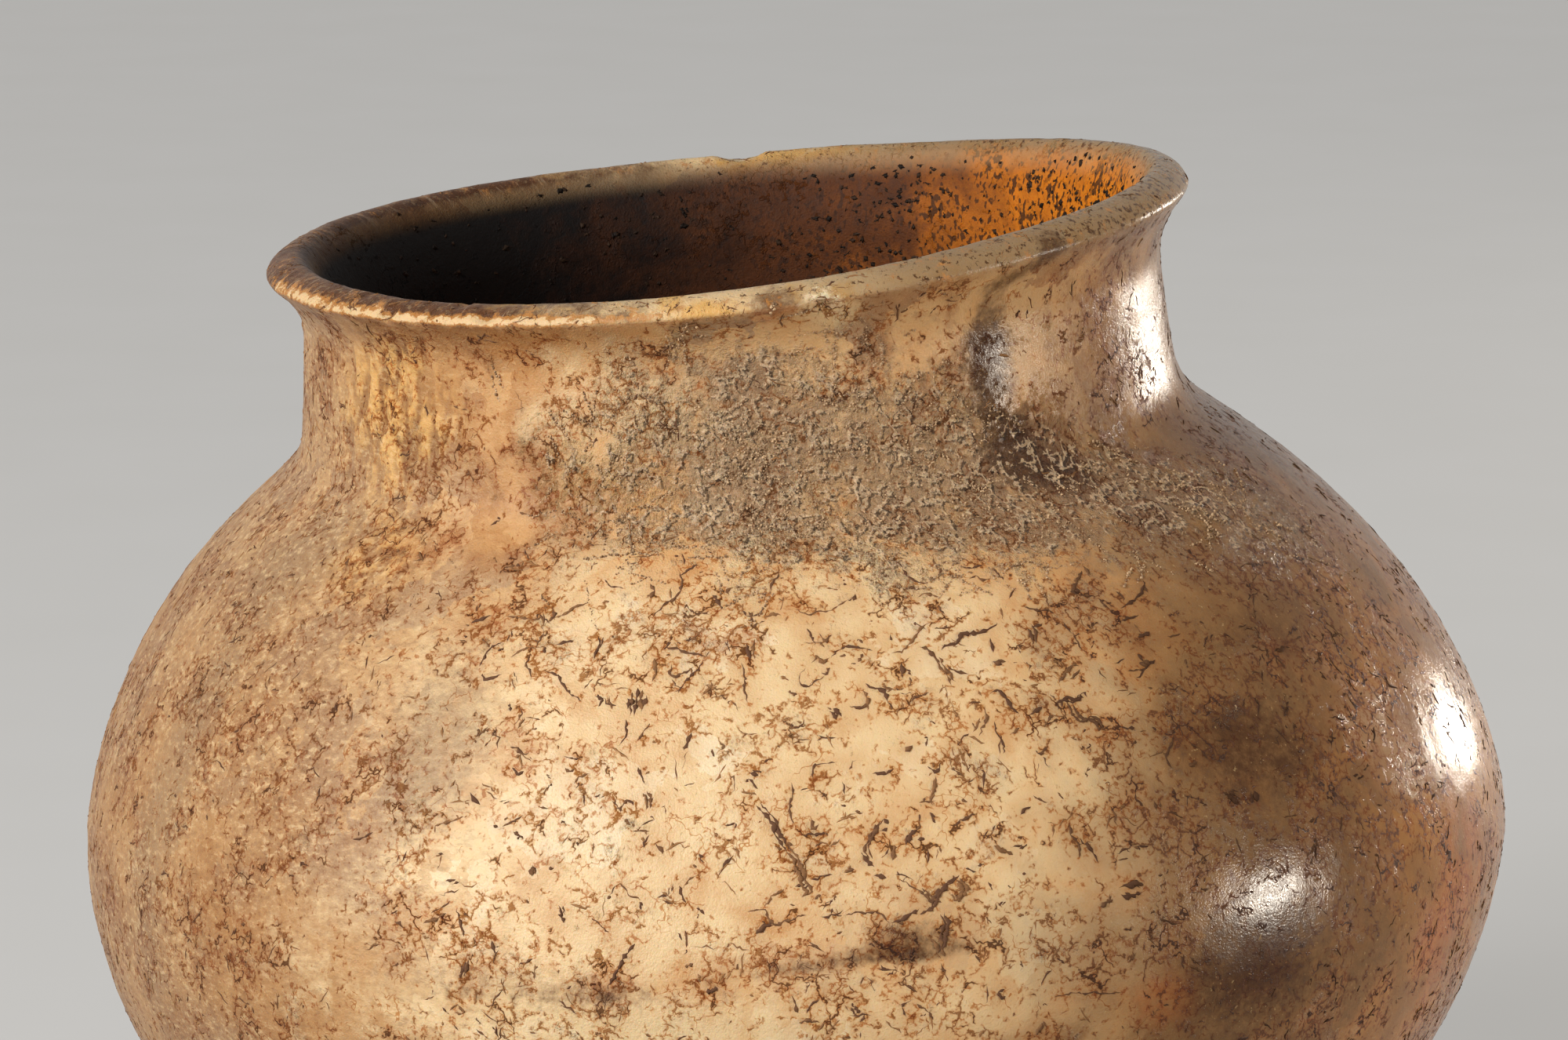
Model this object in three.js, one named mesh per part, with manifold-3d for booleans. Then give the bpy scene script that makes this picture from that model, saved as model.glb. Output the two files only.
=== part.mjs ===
// A round-bodied onyx jar with a short leaning neck and a flared lip, hollowed out of one block.
// It stands on three separate feet: each has a round tenon, bedded with mastic in a blind socket
// in the thick floor of the jar. Millimetres, +Z up, +X to the right and +Y to the back.
// The origin lies on the ground, under the middle of the body.
import * as THREE from 'three';
import { mergeVertices } from 'three/addons/utils/BufferGeometryUtils.js';
import Module from 'manifold-3d';

// Body, with heights counted from its widest ring
const BODY_RADIUS = 100;
const SHOULDER_RISE = 73.7;
const BELLY_DEPTH = 75;
const SHOULDER_POWER = 1.8;
const BELLY_POWER = 1.9;
const GROUND_CLEARANCE = 12;

// Neck and lip, with heights counted from the ring where the neck leaves the shoulder
const NECK_RISE = 62;
const NECK_HEIGHT = 22;
const NECK_BASE_RADIUS = 60.9;
const NECK_WAIST_RADIUS = 59.4;
const NECK_TAPER_DROP = 4;
const NECK_TAPER_LENGTH = 20;
const NECK_FILLET = 4.6;
const FILLET_REACH = 8;
const LIP_RADIUS = 63.9;
const LIP_FLARE_LENGTH = 9;
const LIP_FLARE_POWER = 2.2;
const LIP_NOSE = 0.8;
const LIP_CREST_RADIUS = 60.2;
const LIP_CREST_RISE = 2.8;
const LIP_CREST_EASE = 2.2;
const MOUTH_FLARE_DEPTH = 11;

// Walls of the hollow
const BODY_WALL = 7;
const SHOULDER_WALL = 6;
const NECK_WALL = 5;
const FLOOR_WALL = 14;

// Hand-carved lean: the neck stands off the middle and tips to the left, and the body sways a little
const NECK_OFFSET = 7.9;
const NECK_LEAN = THREE.MathUtils.degToRad(4.2);
const SHOULDER_SWAY = 1.3;
const BELLY_SWAY = 1.4;
const LIP_SIDE_RISE = 1.5;
const LIP_FRONT_RISE = 0.2;
const LIP_WAVE = 0.8;
const LIP_SKEW = 0.39;

// Old losses of the lip: the turn round the mouth in degrees, then the place and the reach of each
// as shares of the lip's radius, with the rise counted from the lip's edge
const CHIP_SHARES = [
  { turn: 89, out: 0.97, rise: 0.053, along: 0.049, across: 0.11, down: 0.033 },
  { turn: 161, out: 1.033, rise: 0.03, along: 0.125, across: 0.066, down: 0.053 },
  { turn: 152, out: 1.041, rise: 0.019, along: 0.141, across: 0.069, down: 0.066 },
  { turn: 282, out: 1.052, rise: -0.022, along: 0.056, across: 0.072, down: 0.053 },
];

// Feet, with heights counted from the ground
const FOOT_NAMES = ['front', 'rear_right', 'rear_left'];
const FOOT_FIRST_ANGLE = THREE.MathUtils.degToRad(-90);
const FOOT_CIRCLE_RADIUS = 45;
const FOOT_TOP_RADIUS = 12.5;
const FOOT_SOLE_RADIUS = 6.2;
const FOOT_SOLE_ROUNDING = 2.4;
const FOOT_SWELL = 1.5;
const FOOT_TENON_RADIUS = 5;
const SOCKET_TOP = 28;

// Fits between the pieces
const PIECE_CLEARANCE = 0.3;
const BED_THICKNESS = 0.9;
const BED_SETBACK = 0.6;
const CUT_OVERRUN = 2;

// Fineness of the faces
const ROUND_SEGMENTS = 64;
const FOOT_SEGMENTS = 24;
const BELLY_STEPS = 11;
const SHOULDER_STEPS = 7;
const FILLET_STEPS = 7;
const NECK_STEPS = 2;
const FLARE_STEPS = 5;
const LIP_STEPS = 5;
const MOUTH_STEPS = 6;
const CHIP_SEGMENTS = 16;
const FOOT_CURVE_STEPS = 5;

// Worked-out places
const EQUATOR_HEIGHT = GROUND_CLEARANCE + BELLY_DEPTH;
const LIP_EDGE_RISE = NECK_RISE + NECK_HEIGHT;
const FLARE_START_RISE = LIP_EDGE_RISE - LIP_FLARE_LENGTH;
const SOCKET_RADIUS = FOOT_TENON_RADIUS + PIECE_CLEARANCE + BED_THICKNESS + PIECE_CLEARANCE;

const { clamp, smoothstep } = THREE.MathUtils;

/** Height share of an egg-shaped half: the radius share that belongs to a height share. */
function roundShare(heightShare, power) {
  return Math.sqrt(1 - Math.pow(clamp(heightShare, 0, 1), power));
}

/** Larger of two radii, with a hollow fillet where they meet. */
function blendRadii(first, second, fillet) {
  return (first + second + Math.hypot(first - second, fillet)) / 2;
}

/** Outside radius of the neck, without or with the flare of its lip. */
function neckRadius(rise, flared) {
  const taper = clamp((rise - NECK_RISE + NECK_TAPER_DROP) / NECK_TAPER_LENGTH, 0, 1);
  const plain = THREE.MathUtils.lerp(NECK_BASE_RADIUS, NECK_WAIST_RADIUS, taper);
  if (!flared) return plain;
  const flare = clamp((rise - FLARE_START_RISE) / LIP_FLARE_LENGTH, 0, 1);
  return plain + (LIP_RADIUS - NECK_WAIST_RADIUS) * Math.pow(flare, LIP_FLARE_POWER);
}

/** Outside radius above the widest ring. */
function outerRadius(rise) {
  const body = BODY_RADIUS * roundShare(rise / SHOULDER_RISE, SHOULDER_POWER);
  return blendRadii(body, neckRadius(rise, true), NECK_FILLET);
}

/** Inside radius above the widest ring. */
function innerRadius(rise) {
  const share = roundShare(rise / (SHOULDER_RISE - SHOULDER_WALL), SHOULDER_POWER);
  const body = (BODY_RADIUS - BODY_WALL) * share;
  return blendRadii(body, neckRadius(rise, false) - NECK_WALL, NECK_FILLET);
}

/** Points of the belly's curve from its lowest point up to the widest ring. */
function bellyPoints(radius, depth) {
  const points = [];
  for (let i = 0; i <= BELLY_STEPS; i += 1) {
    const turn = (i / BELLY_STEPS) * Math.PI / 2;
    const height = depth * Math.pow(Math.max(Math.cos(turn), 0), 2 / BELLY_POWER);
    points.push(new THREE.Vector2(radius * Math.sin(turn), i === BELLY_STEPS ? 0 : -height));
  }
  points[0].x = 0;
  return points;
}

/** Heights from low to high in even steps, without the lowest. */
function risesBetween(low, high, steps) {
  return Array.from({ length: steps }, (_, i) => THREE.MathUtils.lerp(low, high, (i + 1) / steps));
}

/** Rounded edge of the lip and the flared way down into the mouth. */
function lipPoints() {
  const boreRise = LIP_EDGE_RISE - MOUTH_FLARE_DEPTH;
  const crestRise = LIP_EDGE_RISE + LIP_CREST_RISE;
  const edge = new THREE.Vector2(outerRadius(LIP_EDGE_RISE), LIP_EDGE_RISE);
  const nose = new THREE.CubicBezierCurve(
    edge,
    new THREE.Vector2(edge.x + LIP_NOSE, LIP_EDGE_RISE + LIP_NOSE),
    new THREE.Vector2(LIP_CREST_RADIUS + LIP_CREST_EASE, crestRise),
    new THREE.Vector2(LIP_CREST_RADIUS, crestRise),
  );
  const bore = innerRadius(boreRise);
  const mouth = new THREE.CubicBezierCurve(
    new THREE.Vector2(LIP_CREST_RADIUS, crestRise),
    new THREE.Vector2(LIP_CREST_RADIUS - LIP_CREST_EASE, crestRise),
    new THREE.Vector2(bore, (boreRise + crestRise) / 2),
    new THREE.Vector2(bore, boreRise),
  );
  return [...nose.getPoints(LIP_STEPS).slice(1), ...mouth.getPoints(MOUTH_STEPS).slice(1)];
}

/** Whole section of the hollow jar, from the underside over the lip to the inner floor. */
function jarProfile() {
  const filletLow = NECK_RISE - FILLET_REACH;
  const filletHigh = NECK_RISE + FILLET_REACH;
  const outside = [
    ...risesBetween(0, filletLow, SHOULDER_STEPS),
    ...risesBetween(filletLow, filletHigh, FILLET_STEPS),
    ...risesBetween(filletHigh, FLARE_START_RISE, NECK_STEPS),
    ...risesBetween(FLARE_START_RISE, LIP_EDGE_RISE, FLARE_STEPS),
  ].map((rise) => new THREE.Vector2(outerRadius(rise), rise));
  const innerLow = filletLow - SHOULDER_WALL;
  const innerHigh = filletHigh - SHOULDER_WALL;
  const inside = [
    ...risesBetween(0, innerLow, SHOULDER_STEPS),
    ...risesBetween(innerLow, innerHigh, FILLET_STEPS),
  ].reverse().map((rise) => new THREE.Vector2(innerRadius(rise), rise));
  return [
    ...bellyPoints(BODY_RADIUS, BELLY_DEPTH),
    ...outside,
    ...lipPoints(),
    ...inside,
    ...bellyPoints(BODY_RADIUS - BODY_WALL, BELLY_DEPTH - FLOOR_WALL).reverse(),
  ];
}

/** Moves a point of the true round shape to its place on the leaning, hand-carved one. */
function settle(point) {
  const share = clamp(point.z / NECK_RISE, 0, 1);
  const eased = smoothstep(share, 0, 1);
  const leanHere = NECK_LEAN * eased;
  const headway = share * share * (1 - share) * Math.tan(NECK_LEAN) * NECK_RISE;
  const bellyShare = clamp(-point.z / BELLY_DEPTH, 0, 1);
  const sway = SHOULDER_SWAY * Math.sin(Math.PI * share) - BELLY_SWAY * Math.sin(Math.PI * bellyShare);
  const turn = Math.atan2(point.y, point.x);
  const above = Math.max(point.z - NECK_RISE, 0);
  const wave = LIP_SIDE_RISE * Math.cos(turn) - LIP_FRONT_RISE * Math.sin(turn)
    + LIP_WAVE * Math.cos(2 * turn) - LIP_SKEW * Math.sin(2 * turn);
  const along = above + wave * (above / NECK_HEIGHT) ** 2;
  const middleX = headway - NECK_OFFSET * eased + sway - along * Math.sin(NECK_LEAN);
  const middleZ = Math.min(point.z, NECK_RISE) + along * Math.cos(NECK_LEAN);
  const x = middleX + point.x * Math.cos(leanHere);
  return point.set(x, point.y, EQUATOR_HEIGHT + middleZ + point.x * Math.sin(leanHere));
}

/** Settles every corner of a round form. */
function settleForm(geometry) {
  const places = geometry.attributes.position;
  const point = new THREE.Vector3();
  for (let i = 0; i < places.count; i += 1) {
    settle(point.fromBufferAttribute(places, i));
    places.setXYZ(i, point.x, point.y, point.z);
  }
  return geometry;
}

/** Lathe whose axis stands along +Z. */
function turned(points, segments) {
  return new THREE.LatheGeometry(points, segments).rotateX(Math.PI / 2);
}

/** The belly as a filled form that stands out by a stated gap, to fit the feet to it. */
function bellyForm(standOff) {
  const curve = bellyPoints(BODY_RADIUS + standOff, BELLY_DEPTH + standOff);
  return settleForm(turned([...curve, new THREE.Vector2(0, 0)], ROUND_SEGMENTS));
}

/** Upright round bar between two heights. */
function bar(radius, low, high) {
  const length = high - low;
  return new THREE.CylinderGeometry(radius, radius, length, FOOT_SEGMENTS)
    .rotateX(Math.PI / 2)
    .translate(0, 0, low + length / 2);
}

/** Flat sole, rounded edge and swelling sides of one foot, up into the underside of the jar. */
function footForm() {
  const rounded = FOOT_SOLE_RADIUS + FOOT_SOLE_ROUNDING;
  const sole = new THREE.QuadraticBezierCurve(
    new THREE.Vector2(FOOT_SOLE_RADIUS, 0),
    new THREE.Vector2(rounded, 0),
    new THREE.Vector2(rounded, FOOT_SOLE_ROUNDING),
  );
  const side = new THREE.QuadraticBezierCurve(
    new THREE.Vector2(rounded, FOOT_SOLE_ROUNDING),
    new THREE.Vector2((rounded + FOOT_TOP_RADIUS) / 2 + FOOT_SWELL, (FOOT_SOLE_ROUNDING + SOCKET_TOP) / 2),
    new THREE.Vector2(FOOT_TOP_RADIUS, SOCKET_TOP),
  );
  return turned([
    new THREE.Vector2(0, 0),
    ...sole.getPoints(FOOT_CURVE_STEPS),
    ...side.getPoints(FOOT_CURVE_STEPS).slice(1),
    new THREE.Vector2(0, SOCKET_TOP),
  ], FOOT_SEGMENTS);
}

const wasm = await Module();
wasm.setup();

/** Closed solid from a geometry. */
function solid(geometry) {
  const plain = geometry.clone();
  plain.deleteAttribute('normal');
  plain.deleteAttribute('uv');
  const merged = mergeVertices(plain);
  return new wasm.Manifold(new wasm.Mesh({
    numProp: 3,
    vertProperties: new Float32Array(merged.attributes.position.array),
    triVerts: new Uint32Array(merged.index.array),
  }));
}

/** Geometry from a closed solid. */
function faces(body) {
  const mesh = body.getMesh();
  const geometry = new THREE.BufferGeometry();
  geometry.setAttribute('position', new THREE.BufferAttribute(mesh.vertProperties, 3));
  geometry.setIndex(new THREE.BufferAttribute(mesh.triVerts, 1));
  geometry.computeVertexNormals();
  return geometry;
}

/** Place of each foot's axis on the ground. */
const footPlaces = FOOT_NAMES.map((_, i) => {
  const turn = FOOT_FIRST_ANGLE + (i / FOOT_NAMES.length) * 2 * Math.PI;
  return new THREE.Vector2(FOOT_CIRCLE_RADIUS * Math.cos(turn), FOOT_CIRCLE_RADIUS * Math.sin(turn));
});

/** A form moved to a foot's axis, as a solid. */
function atFoot(geometry, place) {
  return solid(geometry.translate(place.x, place.y, 0));
}

/** One old loss of the lip, as a rounded lump to take away. */
function chipSolid(shares) {
  const turn = THREE.MathUtils.degToRad(shares.turn);
  const place = settle(new THREE.Vector3(
    shares.out * LIP_RADIUS * Math.cos(turn),
    shares.out * LIP_RADIUS * Math.sin(turn),
    LIP_EDGE_RISE + shares.rise * LIP_RADIUS,
  ));
  return solid(new THREE.SphereGeometry(1, CHIP_SEGMENTS, CHIP_SEGMENTS / 2)
    .scale(shares.across * LIP_RADIUS, shares.along * LIP_RADIUS, shares.down * LIP_RADIUS)
    .rotateZ(turn)
    .translate(place.x, place.y, place.z));
}

/** The jar with its lip losses and the three blind sockets in its floor. */
function jarSolid() {
  let jar = solid(settleForm(turned(jarProfile(), ROUND_SEGMENTS)));
  for (const shares of CHIP_SHARES) jar = jar.subtract(chipSolid(shares));
  for (const place of footPlaces) {
    jar = jar.subtract(atFoot(bar(SOCKET_RADIUS, GROUND_CLEARANCE - CUT_OVERRUN, SOCKET_TOP), place));
  }
  return jar;
}

/** A foot whose shoulder follows the underside, with its tenon. */
function footSolid(place) {
  const standOff = PIECE_CLEARANCE + BED_THICKNESS + PIECE_CLEARANCE;
  const shaped = atFoot(footForm(), place).subtract(solid(bellyForm(standOff)));
  const tenon = bar(FOOT_TENON_RADIUS, GROUND_CLEARANCE - CUT_OVERRUN, SOCKET_TOP - PIECE_CLEARANCE);
  return shaped.add(atFoot(tenon, place));
}

/** The mastic of one joint: a collar over the foot's shoulder and a sleeve round its tenon. */
function bedSolid(place) {
  const low = GROUND_CLEARANCE - CUT_OVERRUN;
  const high = SOCKET_TOP - PIECE_CLEARANCE;
  const collar = atFoot(bar(FOOT_TOP_RADIUS - BED_SETBACK, low, SOCKET_TOP), place)
    .subtract(solid(bellyForm(PIECE_CLEARANCE)));
  const sleeve = atFoot(bar(SOCKET_RADIUS - PIECE_CLEARANCE, low, high), place);
  const bore = bar(FOOT_TENON_RADIUS + PIECE_CLEARANCE, low - CUT_OVERRUN, SOCKET_TOP + CUT_OVERRUN);
  return collar.add(sleeve)
    .intersect(solid(bellyForm(PIECE_CLEARANCE + BED_THICKNESS)))
    .subtract(atFoot(bore, place));
}

const onyx = { color: new THREE.Color(0.72, 0.56, 0.36), roughness: 0.5, metalness: 0 };
const mastic = { color: new THREE.Color(0.17, 0.11, 0.07), roughness: 0.8, metalness: 0 };

/** Named mesh with a material of its own. */
function piece(name, body, look) {
  const mesh = new THREE.Mesh(faces(body), new THREE.MeshStandardMaterial(look));
  mesh.name = name;
  return mesh;
}

const jar = new THREE.Group();
jar.add(piece('bowl', jarSolid(), onyx));
FOOT_NAMES.forEach((name, i) => {
  jar.add(piece(`foot_${name}`, footSolid(footPlaces[i]), onyx));
  jar.add(piece(`foot_bed_${name}`, bedSolid(footPlaces[i]), mastic));
});

export default jar;
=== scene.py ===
"""Dresses the onyx jar around its CAD frame: the stone body, its feet and their mastic joints,
the marks that roots and lime left on the stone, a plain studio and the camera."""

import logging
import math
from dataclasses import dataclass
from enum import Enum

import bmesh
import bpy
import numpy as np
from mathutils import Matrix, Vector
from mathutils.bvhtree import BVHTree
from mathutils.kdtree import KDTree


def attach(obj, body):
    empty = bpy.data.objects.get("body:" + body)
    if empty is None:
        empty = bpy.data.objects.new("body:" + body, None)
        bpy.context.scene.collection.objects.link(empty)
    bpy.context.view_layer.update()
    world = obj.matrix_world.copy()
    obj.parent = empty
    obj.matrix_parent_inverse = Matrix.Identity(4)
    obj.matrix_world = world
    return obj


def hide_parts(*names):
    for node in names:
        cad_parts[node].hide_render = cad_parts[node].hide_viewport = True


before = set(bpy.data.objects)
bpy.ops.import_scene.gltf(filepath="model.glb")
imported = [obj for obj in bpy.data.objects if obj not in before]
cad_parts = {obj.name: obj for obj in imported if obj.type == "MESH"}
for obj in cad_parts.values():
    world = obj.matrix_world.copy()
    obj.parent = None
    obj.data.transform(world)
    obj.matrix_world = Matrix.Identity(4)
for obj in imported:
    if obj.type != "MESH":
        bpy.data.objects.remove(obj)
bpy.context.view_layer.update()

MM = 0.001
BODY = "root"
STONE_SLOT = "onyx"
MASTIC_SLOT = "mastic"
LOG = logging.getLogger("onyx_jar")

# Width of the clusters in which root marks grow, in millimetres
CLUMP_SIZE = 9.0
# Nodules: their size in millimetres, and how much less a step up counts, which makes them tall
NODULE_SIZE = 2.6
NODULE_SQUASH = (1.0, 1.0, 0.45)
# The feet: their number and the turn of the first, which stands in front
FOOT_COUNT = 3
FIRST_FOOT_TURN = math.radians(-90)
MIDDLE = (0.5, 0.5, 0.5)
UPWARDS = (0.0, 0.0, 1.0)
BLACK = (0.0, 0.0, 0.0, 1.0)
# The curve between display values and linear light
DISPLAY_TOP = 255
DISPLAY_KNEE = 0.04045
DISPLAY_SLOPE = 12.92
DISPLAY_FOOT = 0.055
DISPLAY_POWER = 2.4

Colour = tuple[float, float, float, float]
Triple = tuple[float, float, float]
Span = tuple[float, float]


def shade(red: int, green: int, blue: int) -> Colour:
    """Turns a colour in display values from 0 to 255 into the linear values that a shader takes.

    Args:
        red: Red, 0 to 255.
        green: Green, 0 to 255.
        blue: Blue, 0 to 255.

    Returns:
        The linear colour, opaque.
    """
    linear = []
    for value in (red, green, blue):
        share = value / DISPLAY_TOP
        if share <= DISPLAY_KNEE:
            linear.append(share / DISPLAY_SLOPE)
        else:
            linear.append(((share + DISPLAY_FOOT) / (1 + DISPLAY_FOOT)) ** DISPLAY_POWER)
    return (linear[0], linear[1], linear[2], 1.0)


def part(values: np.ndarray, length: float, start: float = 0.0) -> np.ndarray:
    """How far values have come along a length that begins at start, from 0 to 1."""
    return np.clip((values - start) / length, 0, 1)


@dataclass(frozen=True)
class Signal:
    """What one node gives out, ready for arithmetic with numbers and other signals."""

    tree: bpy.types.NodeTree
    socket: bpy.types.NodeSocket

    def math(self, operation: str, *others: "Signal | float") -> "Signal":
        """Joins this signal and others in one Math node of the named operation."""
        bench = Bench(self.tree)
        return bench.out("ShaderNodeMath", dict(enumerate((self, *others))), operation=operation)

    def __add__(self, other: "Signal | float") -> "Signal":
        """Sum of two values."""
        return self.math("ADD", other)

    def __sub__(self, other: "Signal | float") -> "Signal":
        """Difference of two values."""
        return self.math("SUBTRACT", other)

    def __mul__(self, other: "Signal | float") -> "Signal":
        """Product of two values."""
        return self.math("MULTIPLY", other)

    def smooth(self, low: float, high: float, start: float = 0.0, end: float = 1.0) -> "Signal":
        """Eases from one value to another as this signal passes from low to high.

        Args:
            low: Where the change begins.
            high: Where it ends.
            start: Value up to low.
            end: Value from high on.

        Returns:
            The eased value.
        """
        return Bench(self.tree).out(
            "ShaderNodeMapRange",
            {"Value": self, "From Min": low, "From Max": high, "To Min": start, "To Max": end},
            interpolation_type="SMOOTHSTEP",
        )


class Bench:
    """Adds nodes to one tree and joins them."""

    def __init__(self, tree: bpy.types.NodeTree) -> None:
        """Keeps the tree that the nodes go to."""
        self.tree = tree

    def node(self, kind: str, inputs: dict | None = None, **settings: object) -> bpy.types.Node:
        """Adds one node.

        Args:
            kind: Blender's name for the kind of node.
            inputs: Values and signals by the socket's name, identifier or number.
            settings: The node's own properties.

        Returns:
            The node.
        """
        made = self.tree.nodes.new(kind)
        for name, value in settings.items():
            setattr(made, name, value)
        self.join(made, inputs or {})
        return made

    def join(self, node: bpy.types.Node, inputs: dict) -> None:
        """Sets a node's inputs.

        Args:
            node: The node.
            inputs: Values and signals by the socket's name, identifier or number.
        """
        for key, value in inputs.items():
            socket = self.find(node.inputs, key)
            if isinstance(value, (Signal, list)):
                for signal in value if isinstance(value, list) else [value]:
                    self.tree.links.new(signal.socket, socket)
            else:
                socket.default_value = value

    def first(self, kind: str) -> bpy.types.Node:
        """The node of a kind that Blender has put in the tree."""
        return next(node for node in self.tree.nodes if node.type == kind)

    @staticmethod
    def find(sockets: bpy.types.NodeInputs, key: str | int) -> bpy.types.NodeSocket:
        """Finds a node's input or output by its number, identifier or name."""
        known = [socket for socket in sockets if socket.identifier == key]
        return known[0] if known else sockets[key]

    def out(self, kind: str, inputs: dict | None = None, key: str | int = 0, **settings: object) -> Signal:
        """Adds one node, with the same inputs as node, and gives the output of a key."""
        made = self.node(kind, inputs, **settings)
        return Signal(self.tree, self.find(made.outputs, key))

    def geo(self, kind: str, inputs: dict | None = None, key: str | int = 0, **settings: object) -> Signal:
        """Adds one node of Geometry Nodes, named in short, and gives the output of a key."""
        return self.out("GeometryNode" + kind, inputs, key, **settings)

    def noise(self, place: Signal, scale: float, detail: float = 2.0, roughness: float = 0.5,
              distortion: float = 0.0) -> Signal:
        """Cloudy value from 0 to 1; scale is the number of clouds per unit of place."""
        sizes = {"Vector": place, "Scale": scale, "Detail": detail, "Roughness": roughness}
        return self.out("ShaderNodeTexNoise", {**sizes, "Distortion": distortion})

    def noise_vector(self, place: Signal, scale: Signal | float, detail: float,
                     roughness: float = 0.5) -> Signal:
        """Cloudy vector whose parts go from -0.5 to 0.5, with the same inputs as noise."""
        values = {"Vector": place, "Scale": scale, "Detail": detail, "Roughness": roughness}
        return self.vector("SUBTRACT", self.out("ShaderNodeTexNoise", values, "Color"), MIDDLE)

    def blend(self, mask: Signal | float, first: Signal | Colour, second: Signal | Colour,
              way: str = "MIX") -> Signal:
        """Blends two colours: mask is 0 for the first and 1 for the second, way is the blend type."""
        values = {"Factor_Float": mask, "A_Color": first, "B_Color": second}
        return self.out("ShaderNodeMix", values, "Result_Color", data_type="RGBA", blend_type=way)

    def attribute(self, name: str) -> Signal:
        """Value that a surface carries under a name."""
        return self.out("ShaderNodeAttribute", key="Fac", attribute_name=name)

    def vector(self, operation: str, first: Signal, second: object = (0.0, 0.0, 0.0)) -> Signal:
        """Joins two vectors in one Vector Math node."""
        key = "Scale" if operation == "SCALE" else "Vector_001"
        return self.out("ShaderNodeVectorMath", {"Vector": first, key: second}, operation=operation)


def new_object(name: str, data: bpy.types.ID) -> bpy.types.Object:
    """Puts a mesh, camera or lamp in the scene.

    Args:
        name: Its name.
        data: The mesh, camera or lamp.

    Returns:
        The object.
    """
    made = bpy.data.objects.new(name, data)
    bpy.context.scene.collection.objects.link(made)
    return made


def aim(name: str, data: bpy.types.ID, seat: Vector, back: Vector) -> bpy.types.Object:
    """Puts a camera or lamp in the scene and turns it.

    Args:
        name: Its name.
        data: The camera or lamp.
        seat: Where it stands, in metres.
        back: Direction that it has behind it.

    Returns:
        The object.
    """
    made = new_object(name, data)
    made.location = seat
    made.rotation_mode = "QUATERNION"
    made.rotation_quaternion = (-back).to_track_quat("-Z", "Y")
    return made


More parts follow.
